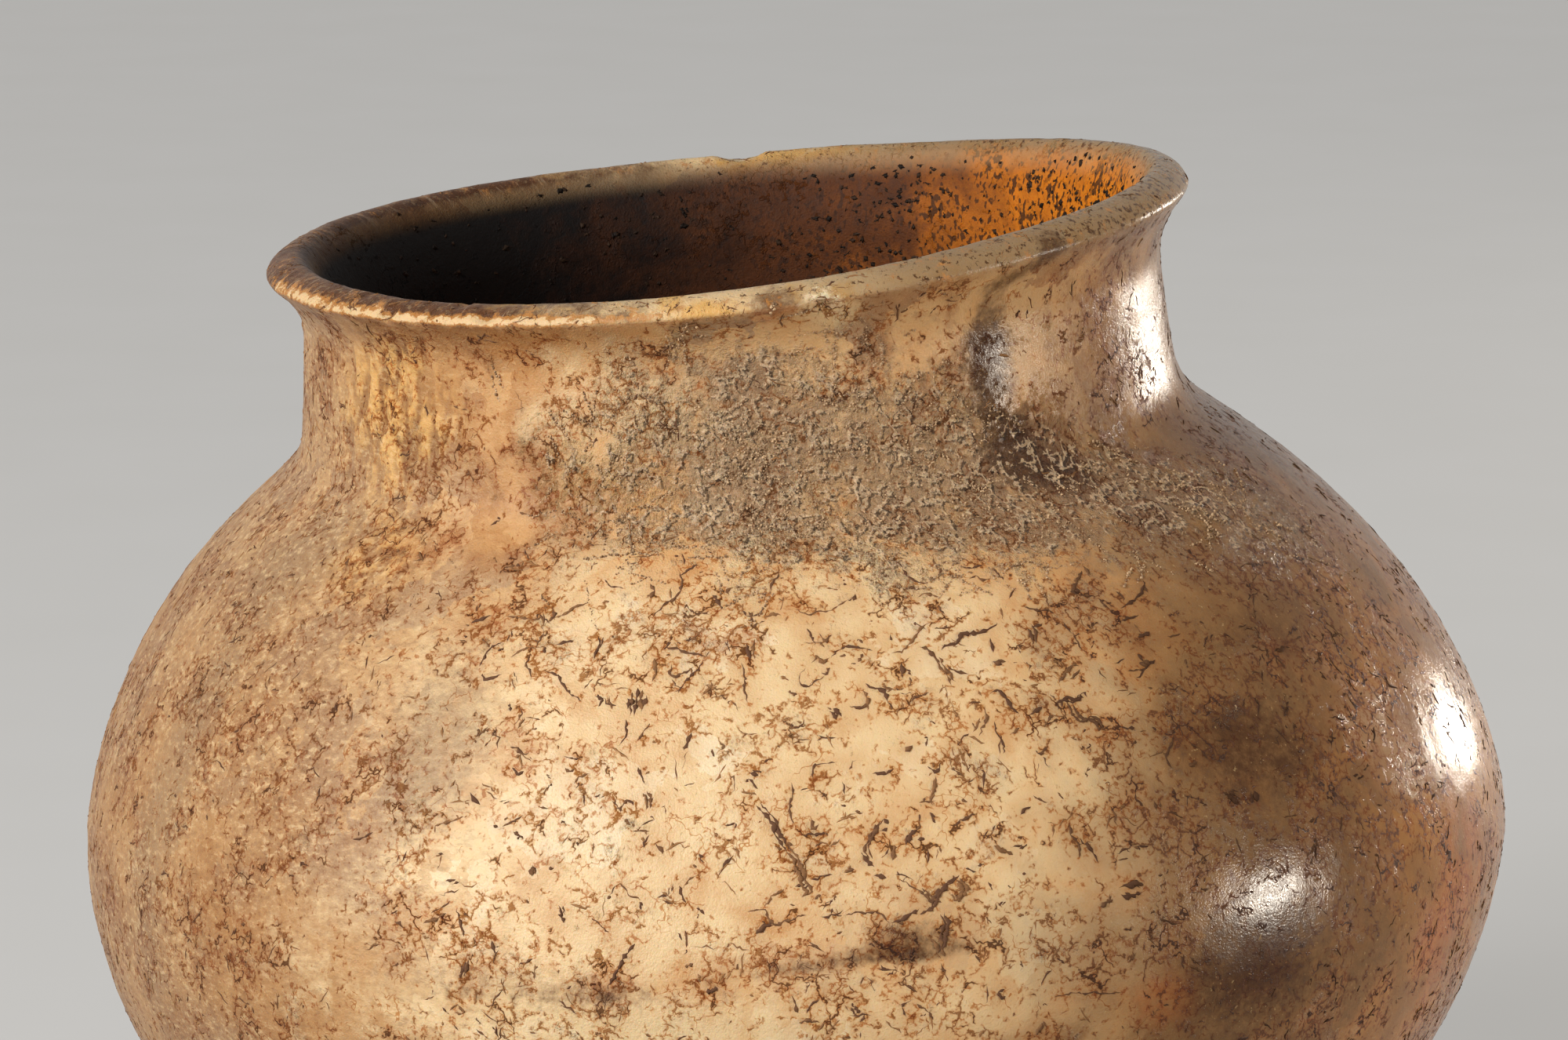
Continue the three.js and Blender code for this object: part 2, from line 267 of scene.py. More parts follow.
@dataclass(frozen=True)
class JarForm:
    """Sizes of the jar in millimetres and the shape that follows from them, as in the CAD source."""

    body_radius: float = 100.0
    shoulder_rise: float = 73.7
    belly_depth: float = 75.0
    shoulder_power: float = 1.8
    belly_power: float = 1.9
    ground_clearance: float = 12.0
    neck_rise: float = 62.0
    neck_height: float = 22.0
    neck_base_radius: float = 60.9
    neck_waist_radius: float = 59.4
    neck_taper_drop: float = 4.0
    neck_taper_length: float = 20.0
    neck_fillet: float = 4.6
    fillet_reach: float = 8.0
    lip_radius: float = 63.9
    lip_flare_length: float = 9.0
    lip_flare_power: float = 2.2
    lip_nose: float = 0.8
    lip_crest_radius: float = 60.2
    lip_crest_rise: float = 2.8
    lip_crest_ease: float = 2.2
    mouth_flare_depth: float = 11.0
    body_wall: float = 7.0
    shoulder_wall: float = 6.0
    neck_wall: float = 5.0
    floor_wall: float = 14.0
    neck_offset: float = 7.9
    neck_lean: float = math.radians(4.2)
    shoulder_sway: float = 1.3
    belly_sway: float = 1.4
    lip_side_rise: float = 1.5
    lip_front_rise: float = 0.2
    lip_wave: float = 0.8
    lip_skew: float = 0.39
    sway_rounds: int = 4

    @property
    def equator_height(self) -> float:
        """Height of the widest ring over the ground."""
        return self.ground_clearance + self.belly_depth

    @property
    def lip_edge_rise(self) -> float:
        """Height of the lip's edge over the widest ring."""
        return self.neck_rise + self.neck_height

    def neck_radius(self, rise: np.ndarray, flared: bool) -> np.ndarray:
        """Outside radius of the neck.

        Args:
            rise: Heights over the widest ring.
            flared: Whether the flare of the lip counts.

        Returns:
            The radii.
        """
        taper = part(rise - self.neck_rise + self.neck_taper_drop, self.neck_taper_length)
        plain = self.neck_base_radius + (self.neck_waist_radius - self.neck_base_radius) * taper
        if not flared:
            return plain
        flare = part(rise, self.lip_flare_length, self.lip_edge_rise - self.lip_flare_length)
        return plain + (self.lip_radius - self.neck_waist_radius) * flare**self.lip_flare_power

    def shoulder_radius(self, rise: np.ndarray, wall: float, drop: float, neck: np.ndarray) -> np.ndarray:
        """Radius above the widest ring, where the shoulder runs into the neck in a hollow fillet.

        Args:
            rise: Heights over the widest ring.
            wall: How far the surface lies inside the body's radius.
            drop: How far it lies below the shoulder's full rise.
            neck: Radii of the neck at those heights.

        Returns:
            The radii.
        """
        share = part(rise, self.shoulder_rise - drop)
        body = (self.body_radius - wall) * np.sqrt(1 - share**self.shoulder_power)
        return (body + neck + np.hypot(body - neck, self.neck_fillet)) / 2

    def outer_radius(self, rise: np.ndarray) -> np.ndarray:
        """Outside radius above the widest ring."""
        return self.shoulder_radius(rise, 0, 0, self.neck_radius(rise, True))

    def inner_radius(self, rise: np.ndarray) -> np.ndarray:
        """Inside radius above the widest ring."""
        neck = self.neck_radius(rise, False) - self.neck_wall
        return self.shoulder_radius(rise, self.body_wall, self.shoulder_wall, neck)

    def belly_line(self, radius: float, depth: float, steps: int) -> np.ndarray:
        """Points of the belly's curve from its lowest point up to the widest ring.

        Args:
            radius: Radius at the widest ring.
            depth: Depth under it.
            steps: Number of steps.

        Returns:
            Rows of radius and height.
        """
        turn = np.linspace(0, math.pi / 2, steps + 1)
        height = -depth * np.clip(np.cos(turn), 0, 1) ** (2 / self.belly_power)
        return np.stack([radius * np.sin(turn), height], axis=1)

    def belly_height(self, x: np.ndarray, y: np.ndarray, stand_off: float) -> np.ndarray:
        """Height over the ground of the underside, or of a surface that stands off from it.

        Args:
            x: Places to the right.
            y: Places to the back.
            stand_off: Distance under the underside.

        Returns:
            The heights.
        """
        radius = self.body_radius + stand_off
        depth = self.belly_depth + stand_off
        rise = np.full(np.shape(x), -depth)
        for _ in range(self.sway_rounds):
            sway = -self.belly_sway * np.sin(math.pi * part(-rise, self.belly_depth))
            share = part(np.hypot(x - sway, y), radius)
            rise = -depth * (1 - share**2) ** (1 / self.belly_power)
        return self.equator_height + rise

    def settle(self, points: np.ndarray) -> np.ndarray:
        """Moves points of the true round shape to their place on the leaning, hand-carved one.

        Args:
            points: Rows of x, y and height over the widest ring.

        Returns:
            Rows of x, y and height over the ground.
        """
        x, y, z = points.T
        share = part(z, self.neck_rise)
        eased = share * share * (3 - 2 * share)
        lean_here = self.neck_lean * eased
        headway = share**2 * (1 - share) * math.tan(self.neck_lean) * self.neck_rise
        sway = (self.shoulder_sway * np.sin(math.pi * share)
                - self.belly_sway * np.sin(math.pi * part(-z, self.belly_depth)))
        turn = np.arctan2(y, x)
        above = np.maximum(z - self.neck_rise, 0)
        wave = (self.lip_side_rise * np.cos(turn) - self.lip_front_rise * np.sin(turn)
                + self.lip_wave * np.cos(2 * turn) - self.lip_skew * np.sin(2 * turn))
        along = above + wave * (above / self.neck_height) ** 2
        middle_x = headway - self.neck_offset * eased + sway - along * math.sin(self.neck_lean)
        middle_z = np.minimum(z, self.neck_rise) + along * math.cos(self.neck_lean)
        height = self.equator_height + middle_z + x * np.sin(lean_here)
        return np.stack([middle_x + x * np.cos(lean_here), y, height], axis=1)


@dataclass(frozen=True)
class Photo:
    """The photograph's camera: where it stood, in millimetres, and how it framed the jar, in pixels.

    The sensor's width is in millimetres, and what the camera sees is cut off at distances in metres.
    """

    target: Triple = (-1.64, 0.0, 129.66)
    distance: float = 750.0
    elevation: float = math.radians(12.47)
    focal_pixels: float = 6792.6
    width_pixels: float = 2000.0
    height_pixels: float = 1326.0
    sensor: float = 36.0
    nearest: float = 0.05
    farthest: float = 50.0

    @property
    def back(self) -> Vector:
        """Unit vector from the jar to the camera."""
        return Vector((0.0, -math.cos(self.elevation), math.sin(self.elevation)))

    @property
    def eye(self) -> Vector:
        """Where the camera stands, in millimetres."""
        return Vector(self.target) + self.back * self.distance

    def ray(self, across: float, down: float) -> Vector:
        """Direction in which a pixel looks.

        Args:
            across: Pixels from the left edge.
            down: Pixels from the upper edge.

        Returns:
            The direction, of length 1.
        """
        right = Vector((1.0, 0.0, 0.0))
        up = self.back.cross(right)
        aside = (across - self.width_pixels / 2) / self.focal_pixels
        above = (self.height_pixels / 2 - down) / self.focal_pixels
        return (right * aside + up * above - self.back).normalized()

    def build(self) -> None:
        """Makes the camera and sets it as the scene's."""
        data = bpy.data.cameras.new("camera")
        data.sensor_width = self.sensor
        data.lens = self.focal_pixels / self.width_pixels * self.sensor
        data.clip_start = self.nearest
        data.clip_end = self.farthest
        bpy.context.scene.camera = aim("camera", data, self.eye * MM, self.back)


class Tint(Enum):
    """The kinds of stain in the stone; each is an attribute of the jar's surface."""

    CREAM = "cream"
    RUST = "rust"
    UMBER = "umber"
    ASH = "ash"
    HONEY = "honey"
    CRUST = "crust"


@dataclass(frozen=True)
class Stain:
    """One soft stain, placed by a pixel of the photograph, with its half sizes in millimetres."""

    tint: Tint
    across: float
    down: float
    wide: float
    high: float
    tilt: float = 0.0
    strength: float = 1.0


def read_stains(rows: str) -> tuple[Stain, ...]:
    """Reads stains that are written one to a line."""
    cut = (row.split() for row in rows.split("\n") if row)
    return tuple(Stain(Tint(tint), *map(float, sizes)) for tint, *sizes in cut)


@dataclass(frozen=True)
class Loss:
    """One old loss of the lip: its turn in degrees, its place and reach in shares of the lip's radius."""

    turn: float
    out: float
    rise: float
    along: float
    across: float
    down: float


# The brown band under the widest part: pixels across, then pixels down, and the step between its stains
BAND = (
    (210, 270, 332, 480, 660, 850, 950, 1100, 1250),
    (1180, 1222, 1256, 1262, 1272, 1264, 1243, 1222, 1208),
)
BAND_STEP = 26
BAND_STAINS = tuple(
    Stain(Tint.UMBER, across, float(np.interp(across, *BAND)), wide=3.2, high=1.1, tilt=2, strength=0.2)
    for across in range(BAND[0][0], BAND[0][-1] + 1, BAND_STEP)
)

# The stains that can be made out in the photograph: kind, pixels across and down, half width and
# half height in millimetres, tilt in degrees, strength
STAINS = BAND_STAINS + read_stains("""
cream 760 820 11 13
cream 900 930 14 12
cream 1100 800 15 11
cream 620 1080 11 13
cream 400 1210 14 10 0 0.35
cream 760 1180 15 9
cream 900 1120 16 12
cream 1100 960 15 13
cream 1330 900 15 17 0 0.7
cream 1300 1120 13 12 0 0.6
cream 560 860 10 9 0 0.6
cream 1050 1312 30 4 4 1.2
cream 700 1320 20 3 0 0.9
cream 1450 1060 9 14 0 0.5
rust 560 700 14 5 10 0.5
rust 930 810 7 4 0 0.4
rust 330 900 9 12 40 0.35
rust 1870 1060 7 9 0 0.9
rust 1830 1210 7 9 0 0.8
rust 1480 1275 7 4 0 0.8
rust 400 1120 10 9 30 0.15
umber 1600 955 11 6 -10 1
umber 1600 1200 8 5 20 0.6
umber 1258 450 3.2 8 0 1.2
umber 1275 540 3.2 7 0 1.2
umber 1345 600 7 3.5 -20 1
umber 1165 1195 6 2.6 4 0.6
umber 1560 1250 12 8 0 0.45
ash 215 1000 6 28 0 1.1
ash 390 700 13 6 30 1.1
cream 800 520 12 9 0 0.7
cream 1100 730 24 5 0 0.6
ash 900 480 12 6 0 0.7
ash 1160 480 11 8 0 0.5
umber 1640 1220 9 7 0 0.5
cream 1560 1040 8 6 0 0.35
rust 1040 1215 18 3.4 8 0.5
rust 740 1262 22 3 2 0.45
rust 990 392 3 3 0 1.4
cream 1050 396 3.6 2.6 0 1.8
umber 1342 322 3 2 30 0.9
umber 1290 352 4 1.2 20 0.7
ash 555 950 7 11 0 1.1
ash 700 1262 24 3 0 0.6
ash 1120 620 16 6 0 0.8
ash 1440 700 22 8 -20 0.6
honey 500 520 12 10 0 0.9
honey 470 720 12 8 0 0.5
honey 760 600 9 7 0 0.4
crust 990 500 10 7 0 0.6
crust 1020 610 18 6 -8 1.2
crust 1190 580 11 8 0 0.8
crust 1400 620 14 5 -25 0.9
crust 1560 640 14 6 -35 0.6
crust 860 640 10 6 0 0.5
crust 1000 700 20 6 0 0.22
crust 1280 690 14 6 -10 0.3
ash 1060 705 26 5 0 0.2
""")


@dataclass(frozen=True)
class Trace:
    """One mark that can be made out in the photograph: its width in millimetres, its line in pixels."""

    width: float
    line: str
    least_points: int = 5

    def pixels(self, step: float) -> np.ndarray:
        """Even points along the line.

        Args:
            step: Pixels between them, at most.

        Returns:
            Rows of pixels across and down.
        """
        corners = np.array([[float(value) for value in pair.split()] for pair in self.line.split(",")])
        along = np.concatenate([[0], np.cumsum(np.hypot(*np.diff(corners, axis=0).T))])
        count = max(self.least_points, int(along[-1] / step) + 2)
        at = np.linspace(0, along[-1], count)
        return np.stack([np.interp(at, along, corners[:, 0]), np.interp(at, along, corners[:, 1])], axis=1)


def read_traces(rows: str) -> tuple[Trace, ...]:
    """Reads marks that are written one to a line."""
    cut = (row.split(":") for row in rows.split("\n") if row)
    return tuple(Trace(float(width), line) for width, line in cut)


# The marks that can be made out in the photograph: width in millimetres, then pixels across and down
TRACES = read_traces("""
0.8: 802 890, 801 905
0.8: 807 883, 805 912
0.8: 813 879, 811 914
0.8: 819 881, 817 909
0.8: 825 886, 822 901
0.5: 800 918, 799 935, 790 950
0.5: 830 922, 822 932, 812 945
0.6: 882 935, 878 945, 874 958
0.7: 835 840, 837 855, 833 870
0.5: 858 848, 853 862, 860 866, 875 858, 885 852
0.5: 900 842, 885 858, 873 872, 866 885
0.7: 881 815, 890 819
0.5: 850 825, 875 833, 900 838, 907 832
0.4: 763 812, 765 820, 760 835, 757 843
0.4: 769 813, 767 822, 763 831
0.6: 710 822, 720 820, 733 817
0.4: 652 838, 665 830, 675 825, 690 828
0.4: 677 833, 672 845, 678 865
0.5: 612 850, 620 835, 628 825, 642 819
0.4: 617 813, 624 826
0.5: 615 860, 620 868, 632 864, 641 860
0.5: 700 792, 715 785, 728 778, 738 772, 750 768
0.6: 705 773, 707 785, 697 795
0.6: 600 795, 615 788, 628 785
0.4: 645 785, 660 788, 680 790, 695 785
0.5: 865 725, 870 740, 868 755, 860 765, 848 772, 835 785, 832 790
0.4: 867 735, 880 725, 891 721
0.8: 830 745, 835 754, 829 763
0.4: 770 740, 780 748, 790 750, 795 752
0.6: 990 703, 985 715, 979 726
0.4: 996 730, 985 745, 981 761
0.7: 909 761, 917 768, 920 779
0.5: 930 761, 927 755, 936 749
0.5: 946 780, 955 788, 965 785, 975 778
0.5: 975 790, 985 784, 996 786
0.5: 955 805, 965 797, 976 792
0.6: 952 822, 955 835, 957 844
0.5: 962 815, 960 830, 963 842
0.4: 946 845, 950 865, 948 880, 955 897
0.4: 1030 802, 1036 812, 1038 825
0.6: 1045 808, 1052 818, 1061 811
0.45: 1060 840, 1068 830, 1080 825, 1095 826, 1111 829
0.7: 1035 845, 1042 838, 1050 845, 1059 839
0.6: 1059 852, 1055 862, 1048 858
0.4: 1027 852, 1020 865, 1022 873, 1032 875, 1042 868, 1051 862
0.35: 1015 778, 1030 785, 1045 781, 1060 780, 1072 772, 1085 763
0.9: 1086 768, 1089 760
0.45: 1069 728, 1073 728
0.45: 1076 728, 1081 728
0.4: 1071 737, 1074 737
0.4: 1076 740, 1080 740
0.4: 1075 746, 1079 746
1.2: 1060 905, 1065 909, 1070 916
0.6: 1054 902, 1060 904
0.7: 1105 870, 1114 878, 1126 881, 1131 891, 1138 905
0.6: 1100 877, 1105 890, 1108 906
0.5: 1110 895, 1095 903, 1084 900
0.6: 1135 809, 1137 819
0.6: 1100 835, 1095 844
0.4: 1036 995, 1036 985, 1040 975, 1050 974, 1068 972
0.9: 958 984, 970 988
0.5: 1091 970, 1083 981
0.5: 1113 985, 1130 988, 1140 980
0.9: 823 1010, 828 1020, 826 1031
0.6: 789 1036, 795 1025, 803 1020, 809 1025
0.5: 812 978, 818 990, 822 1001
0.5: 720 977, 728 985, 734 979
0.4: 720 965, 733 968, 741 966
0.4: 730 999, 741 990, 753 986
0.6: 650 955, 660 955, 672 962, 676 957
0.6: 653 980, 660 988, 669 985
0.4: 662 900, 668 910, 660 920, 657 926
0.45: 695 855, 712 862, 722 880, 735 890, 741 896
0.8: 600 1010, 608 1020, 613 1026
0.6: 644 723, 657 721
1.1: 967 1025, 973 1034, 982 1041, 989 1051, 991 1063, 999 1074, 1007 1086
1.2: 1004 1083, 1015 1093, 1017 1105, 1023 1116, 1026 1129, 1032 1138, 1026 1143
0.5: 1010 1000, 1011 1010, 1008 1022, 1007 1035, 1012 1050
0.7: 1025 1065, 1040 1064, 1054 1062
0.7: 1033 1043, 1037 1055, 1045 1050
0.6: 1040 1080, 1050 1075
0.5: 1058 1082, 1071 1071
0.9: 1126 1045, 1118 1055, 1112 1065, 1105 1080, 1110 1096
0.8: 1128 1044, 1135 1050
0.8: 1141 1078, 1138 1096
0.8: 1098 1085, 1106 1098, 1116 1104
0.6: 1119 1061, 1131 1057
0.6: 1173 1037, 1173 1052, 1166 1060
1.1: 1166 1058, 1158 1068, 1158 1079
0.6: 1196 1000, 1190 1010, 1186 1026
0.5: 1214 1053, 1230 1045, 1246 1037
0.5: 1300 1040, 1308 1031, 1313 1027
0.4: 1318 1014, 1328 1020, 1337 1023
0.5: 1255 1071, 1262 1065, 1266 1073
0.8: 1269 1079, 1280 1085, 1291 1090
0.5: 1365 1050, 1367 1065, 1375 1075, 1378 1092
0.5: 1378 1068, 1389 1080, 1401 1099
0.5: 1420 1034, 1426 1053
1.2: 1430 1131, 1443 1127, 1456 1131
1.1: 1455 1138, 1442 1144, 1432 1138
0.9: 1406 1154, 1417 1149
0.5: 1184 1084, 1184 1101
0.6: 1077 1113, 1091 1107
0.7: 1114 1116, 1129 1119
0.4: 1033 1122, 1048 1118, 1062 1115
0.6: 1039 1146, 1048 1140
1.1: 1220 1117, 1212 1125, 1200 1135, 1193 1146, 1189 1157, 1176 1166
1.0: 1221 1121, 1231 1134, 1223 1149, 1214 1141
0.9: 1173 1133, 1185 1144, 1198 1153
1.1: 1202 1164, 1206 1180, 1203 1196, 1200 1216
1.1: 1189 1193, 1197 1205, 1203 1221
0.45: 1075 1168, 1090 1162, 1105 1165, 1120 1164, 1130 1170, 1135 1178
0.8: 1135 1176, 1150 1173, 1160 1167, 1173 1159
0.6: 955 1163, 966 1160, 976 1160, 980 1172, 988 1180, 1001 1175, 1015 1170, 1031 1165
0.7: 964 1191, 975 1183, 989 1180
0.5: 975 1156, 985 1141, 1001 1136
0.8: 1010 1269, 1015 1284, 1019 1291
0.5: 1029 1292, 1035 1279, 1046 1274
0.6: 1019 1304, 1031 1300, 1046 1303
1.2: 1088 1283, 1094 1293
0.5: 1162 1275, 1150 1281, 1156 1297
0.5: 1170 1278, 1186 1291
0.7: 1281 1261, 1274 1264, 1276 1274, 1284 1270
0.9: 1331 1304, 1325 1319
0.35: 1345 1271, 1370 1267, 1400 1266, 1431 1266
0.4: 1140 715, 1150 722, 1157 735, 1170 742, 1184 745
0.4: 1190 709, 1193 720, 1200 728, 1196 741
0.5: 1152 752, 1165 750, 1173 752
0.6: 1170 762, 1180 758, 1190 760, 1199 762
0.5: 1192 765, 1198 775, 1204 784
0.4: 1228 722, 1240 726, 1253 721
0.5: 1235 740, 1243 735, 1252 740, 1263 738
0.4: 1265 722, 1272 732, 1280 741
0.4: 1293 752, 1286 763
0.7: 1381 728, 1373 743, 1365 756
1.0: 1367 753, 1376 756
0.5: 1382 722, 1391 736
0.5: 1304 775, 1315 777, 1325 780, 1335 777, 1344 782
0.8: 1457 740, 1460 747, 1452 761, 1442 770, 1430 776
0.5: 1458 747, 1464 757
0.5: 1429 791, 1441 790, 1453 785
0.45: 1137 833, 1150 832, 1160 822, 1168 810, 1178 800, 1186 792
0.7: 1172 826, 1182 828, 1192 838, 1199 846
0.8: 1200 828, 1210 823, 1220 820, 1226 809, 1238 808, 1250 808, 1262 800, 1272 796
0.9: 1196 840, 1201 850, 1208 860, 1216 872
0.6: 1209 850, 1222 858, 1236 860
0.5: 1262 812, 1265 822, 1268 834
1.1: 1268 843, 1279 846
0.8: 1150 845, 1150 855, 1152 866
0.5: 1150 845, 1161 841
0.9: 1313 799, 1318 810, 1320 822
0.6: 1315 800, 1330 797
0.6: 1307 843, 1315 850, 1312 856
0.5: 1354 794, 1366 809
0.7: 1350 871, 1356 862, 1363 855, 1369 846, 1377 850
0.4: 1160 896, 1165 890, 1178 887, 1185 884
0.7: 1263 884, 1274 880, 1282 890, 1290 904, 1299 909
0.5: 1255 901, 1258 915, 1253 928, 1248 939
0.6: 1312 911, 1320 908, 1329 901
0.9: 1351 904, 1352 893, 1362 891, 1371 895, 1378 885, 1385 891
0.9: 1362 892, 1368 905, 1373 915, 1382 920, 1390 914, 1398 920, 1405 930, 1414 925
0.8: 1429 927, 1440 930, 1446 929
0.6: 1289 939, 1297 932, 1301 927
0.4: 1222 951, 1227 940, 1236 937
0.35: 1268 920, 1270 935, 1278 945, 1280 961
0.8: 1154 959, 1164 952
0.5: 1184 977, 1190 985, 1198 980, 1200 969
0.6: 1193 990, 1193 1000, 1188 1010, 1185 1024
0.8: 1320 957, 1328 963, 1336 955
0.5: 1330 965, 1337 979
1.1: 1455 845, 1466 848
0.5: 1449 834, 1459 845
0.5: 1460 851, 1473 842
0.5: 1438 856, 1461 853
0.9: 1454 813, 1463 807
0.7: 1489 811, 1506 808
0.5: 1498 939, 1490 955, 1488 968, 1496 981
0.6: 1447 1009, 1450 1020, 1458 1029
0.9: 1475 1019, 1479 1031
0.5: 1514 939, 1520 950, 1530 955, 1541 968
0.9: 1519 976, 1526 973
1.2: 1563 1009, 1574 1017, 1581 1023
1.2: 1598 1009, 1601 1023
1.0: 1629 828, 1643 826
1.2: 596 1227, 592 1237, 588 1246
0.8: 712 1154, 716 1168, 718 1177
1.0: 677 1104, 680 1116
0.6: 700 1106, 706 1106
0.5: 555 1063, 557 1053, 566 1050, 578 1047, 591 1041
0.4: 642 1053, 655 1047, 669 1039
0.4: 449 1071, 465 1068, 476 1061
0.6: 540 1176, 555 1172, 568 1164
0.5: 582 1159, 588 1180, 592 1193
0.6: 819 1081, 827 1064
0.7: 837 1074, 845 1089
0.6: 865 1130, 870 1140, 876 1151
0.4: 869 1133, 880 1120, 891 1114
0.6: 754 1171, 765 1178, 776 1188
0.8: 809 1204, 797 1218, 788 1235, 780 1250, 774 1263
0.35: 789 1124, 800 1140, 817 1147
0.6: 627 1199, 632 1217
0.5: 574 1287, 584 1280, 593 1290, 580 1293
0.6: 504 1174, 516 1183
1.2: 904 1263, 914 1262
0.8: 874 1233, 883 1230
0.7: 307 1177, 313 1179
1.0: 592 1228, 590 1246
0.8: 677 1104, 681 1112
0.5: 718 1155, 720 1168
0.5: 646 723, 650 723
0.5: 657 720, 662 721
""")


@dataclass
class Jar:
    """The stone jar: its grid of points, its losses and relief, and the stains, painted shade and painted
    highlight that its surface carries.

    A band is the length over which a mask grows, then where it begins: in rows past the crest of the
    lip or past the foot of the lip, or in millimetres.
    """

    form: JarForm
    photo: Photo
    name: str = "bowl_stone"
    columns: int = 470
    belly_rows: int = 44
    shoulder_rows: int = 50
    fillet_rows: int = 20
    neck_rows: int = 5
    flare_rows: int = 9
    lip_rows: int = 10
    mouth_rows: int = 14
    inner_fillet_rows: int = 14
    inner_shoulder_rows: int = 18
    inner_belly_rows: int = 20
    trace_step: float = 3.5
    split_width: float = 0.9
    split_gap: float = 2.6
    split_bulk: float = 0.65
    whole_bulk: float = 0.9
    tone_step: float = 0.37
    tone_span: float = 0.6
    halo_reach: float = 1.3
    stain_gain: float = 1.3
    outside_band: Span = (2, 0)
    speck_band: Span = (4, 3)
    speck_rise_band: Span = (20, 30)
    mottle_band: Span = (50, 20)
    olive_band: Span = (60, 0)
    lip_band: Span = (3, 0)
    lip_end_band: Span = (3, 3)
    nose_row: float = 4.0
    nose_rows: float = 2.2
    nose_left_band: Span = (14, 14)
    nose_front_band: Span = (20, 10)
    back_band: Span = (60, 0)
    back_cream: float = 0.3
    losses: tuple[Loss, ...] = (
        Loss(89, 0.97, 0.06, 0.065, 0.12, 0.033),
        Loss(161, 1.033, 0.03, 0.125, 0.066, 0.053),
        Loss(152, 1.041, 0.019, 0.141, 0.069, 0.066),
        Loss(282, 1.052, -0.022, 0.056, 0.072, 0.053),
        Loss(213, 1.02, 0.035, 0.035, 0.045, 0.03),
        Loss(219, 0.98, 0.06, 0.04, 0.06, 0.022),
        Loss(226, 1.02, 0.04, 0.026, 0.05, 0.034),
        Loss(231, 1.03, 0.02, 0.05, 0.035, 0.035),
        Loss(236, 0.97, 0.06, 0.03, 0.06, 0.022),
        Loss(241, 1.02, 0.035, 0.035, 0.045, 0.026),
        Loss(247, 1.03, 0.02, 0.026, 0.03, 0.03),
        Loss(253, 1.01, 0.05, 0.022, 0.035, 0.022),
        Loss(316, 1.01, 0.045, 0.018, 0.035, 0.022),
        Loss(320, 1.02, 0.035, 0.016, 0.03, 0.02),
    )

    def lip_line(self) -> np.ndarray:
        """Section of the rounded lip and of the flared way down into the mouth.

        Returns:
            Rows of radius and height, without the edge's.
        """
        form = self.form
        edge = (float(form.outer_radius(np.array(form.lip_edge_rise))), form.lip_edge_rise)
        crest = (form.lip_crest_radius, form.lip_edge_rise + form.lip_crest_rise)
        bore_rise = form.lip_edge_rise - form.mouth_flare_depth
        bore = (float(form.inner_radius(np.array(bore_rise))), bore_rise)
        nose = [edge, (edge[0] + form.lip_nose, edge[1] + form.lip_nose),
                (crest[0] + form.lip_crest_ease, crest[1]), crest]
        mouth = [crest, (crest[0] - form.lip_crest_ease, crest[1]),
                 (bore[0], (bore[1] + crest[1]) / 2), bore]
        return np.concatenate([bezier(nose, self.lip_rows), bezier(mouth, self.mouth_rows)])

    def profile(self) -> tuple[np.ndarray, int]:
        """Whole section of the hollow jar, from the underside over the lip to the inner floor.

        Returns:
            Rows of radius and height, and the number of the row at the lip's crest.
        """
        form = self.form
        low = form.neck_rise - form.fillet_reach
        high = form.neck_rise + form.fillet_reach
        flare = form.lip_edge_rise - form.lip_flare_length
        outside = np.concatenate([
            steps_between(0, low, self.shoulder_rows),
            steps_between(low, high, self.fillet_rows),
            steps_between(high, flare, self.neck_rows),
            steps_between(flare, form.lip_edge_rise, self.flare_rows),
        ])
        inner_low = low - form.shoulder_wall
        inside = np.concatenate([
            steps_between(0, inner_low, self.inner_shoulder_rows),
            steps_between(inner_low, high - form.shoulder_wall, self.inner_fillet_rows),
        ])[::-1]
        belly = form.belly_line(form.body_radius, form.belly_depth, self.belly_rows)
        inner_belly = form.belly_line(form.body_radius - form.body_wall,
                                      form.belly_depth - form.floor_wall, self.inner_belly_rows)
        parts = [
            belly,
            np.stack([form.outer_radius(outside), outside], axis=1),
            self.lip_line(),
            np.stack([form.inner_radius(inside), inside], axis=1),
            inner_belly[::-1],
        ]
        return np.concatenate(parts), len(belly) + len(outside) + self.lip_rows - 1

    def carve_losses(self, points: np.ndarray, normals: np.ndarray) -> np.ndarray:
        """Pushes the points that lie in a loss of the lip inwards, down to its floor.

        Args:
            points: Settled points.
            normals: Outward directions at them.

        Returns:
            The moved points.
        """
        moved = points.copy()
        radius = self.form.lip_radius
        for loss in self.losses:
            turn = math.radians(loss.turn)
            seat = np.array([[loss.out * radius * math.cos(turn), loss.out * radius * math.sin(turn),
                              self.form.lip_edge_rise + loss.rise * radius]])
            middle = self.form.settle(seat)[0]
            outwards = np.array([math.cos(turn), math.sin(turn), 0.0])
            around = np.array([-math.sin(turn), math.cos(turn), 0.0])
            reach = np.array([loss.across, loss.along, loss.down]) * radius
            axes = np.stack([outwards, around, [0.0, 0.0, 1.0]]) / reach[:, None]
            start = (moved - middle) @ axes.T
            heading = -normals @ axes.T
            inside = (start**2).sum(1) < 1
            slope = (heading**2).sum(1)
            half = (start * heading).sum(1)
            room = np.clip(half**2 - slope * ((start**2).sum(1) - 1), 0, None)
            travel = (-half + np.sqrt(room)) / slope
            moved[inside] -= (normals * travel[:, None])[inside]
        return moved

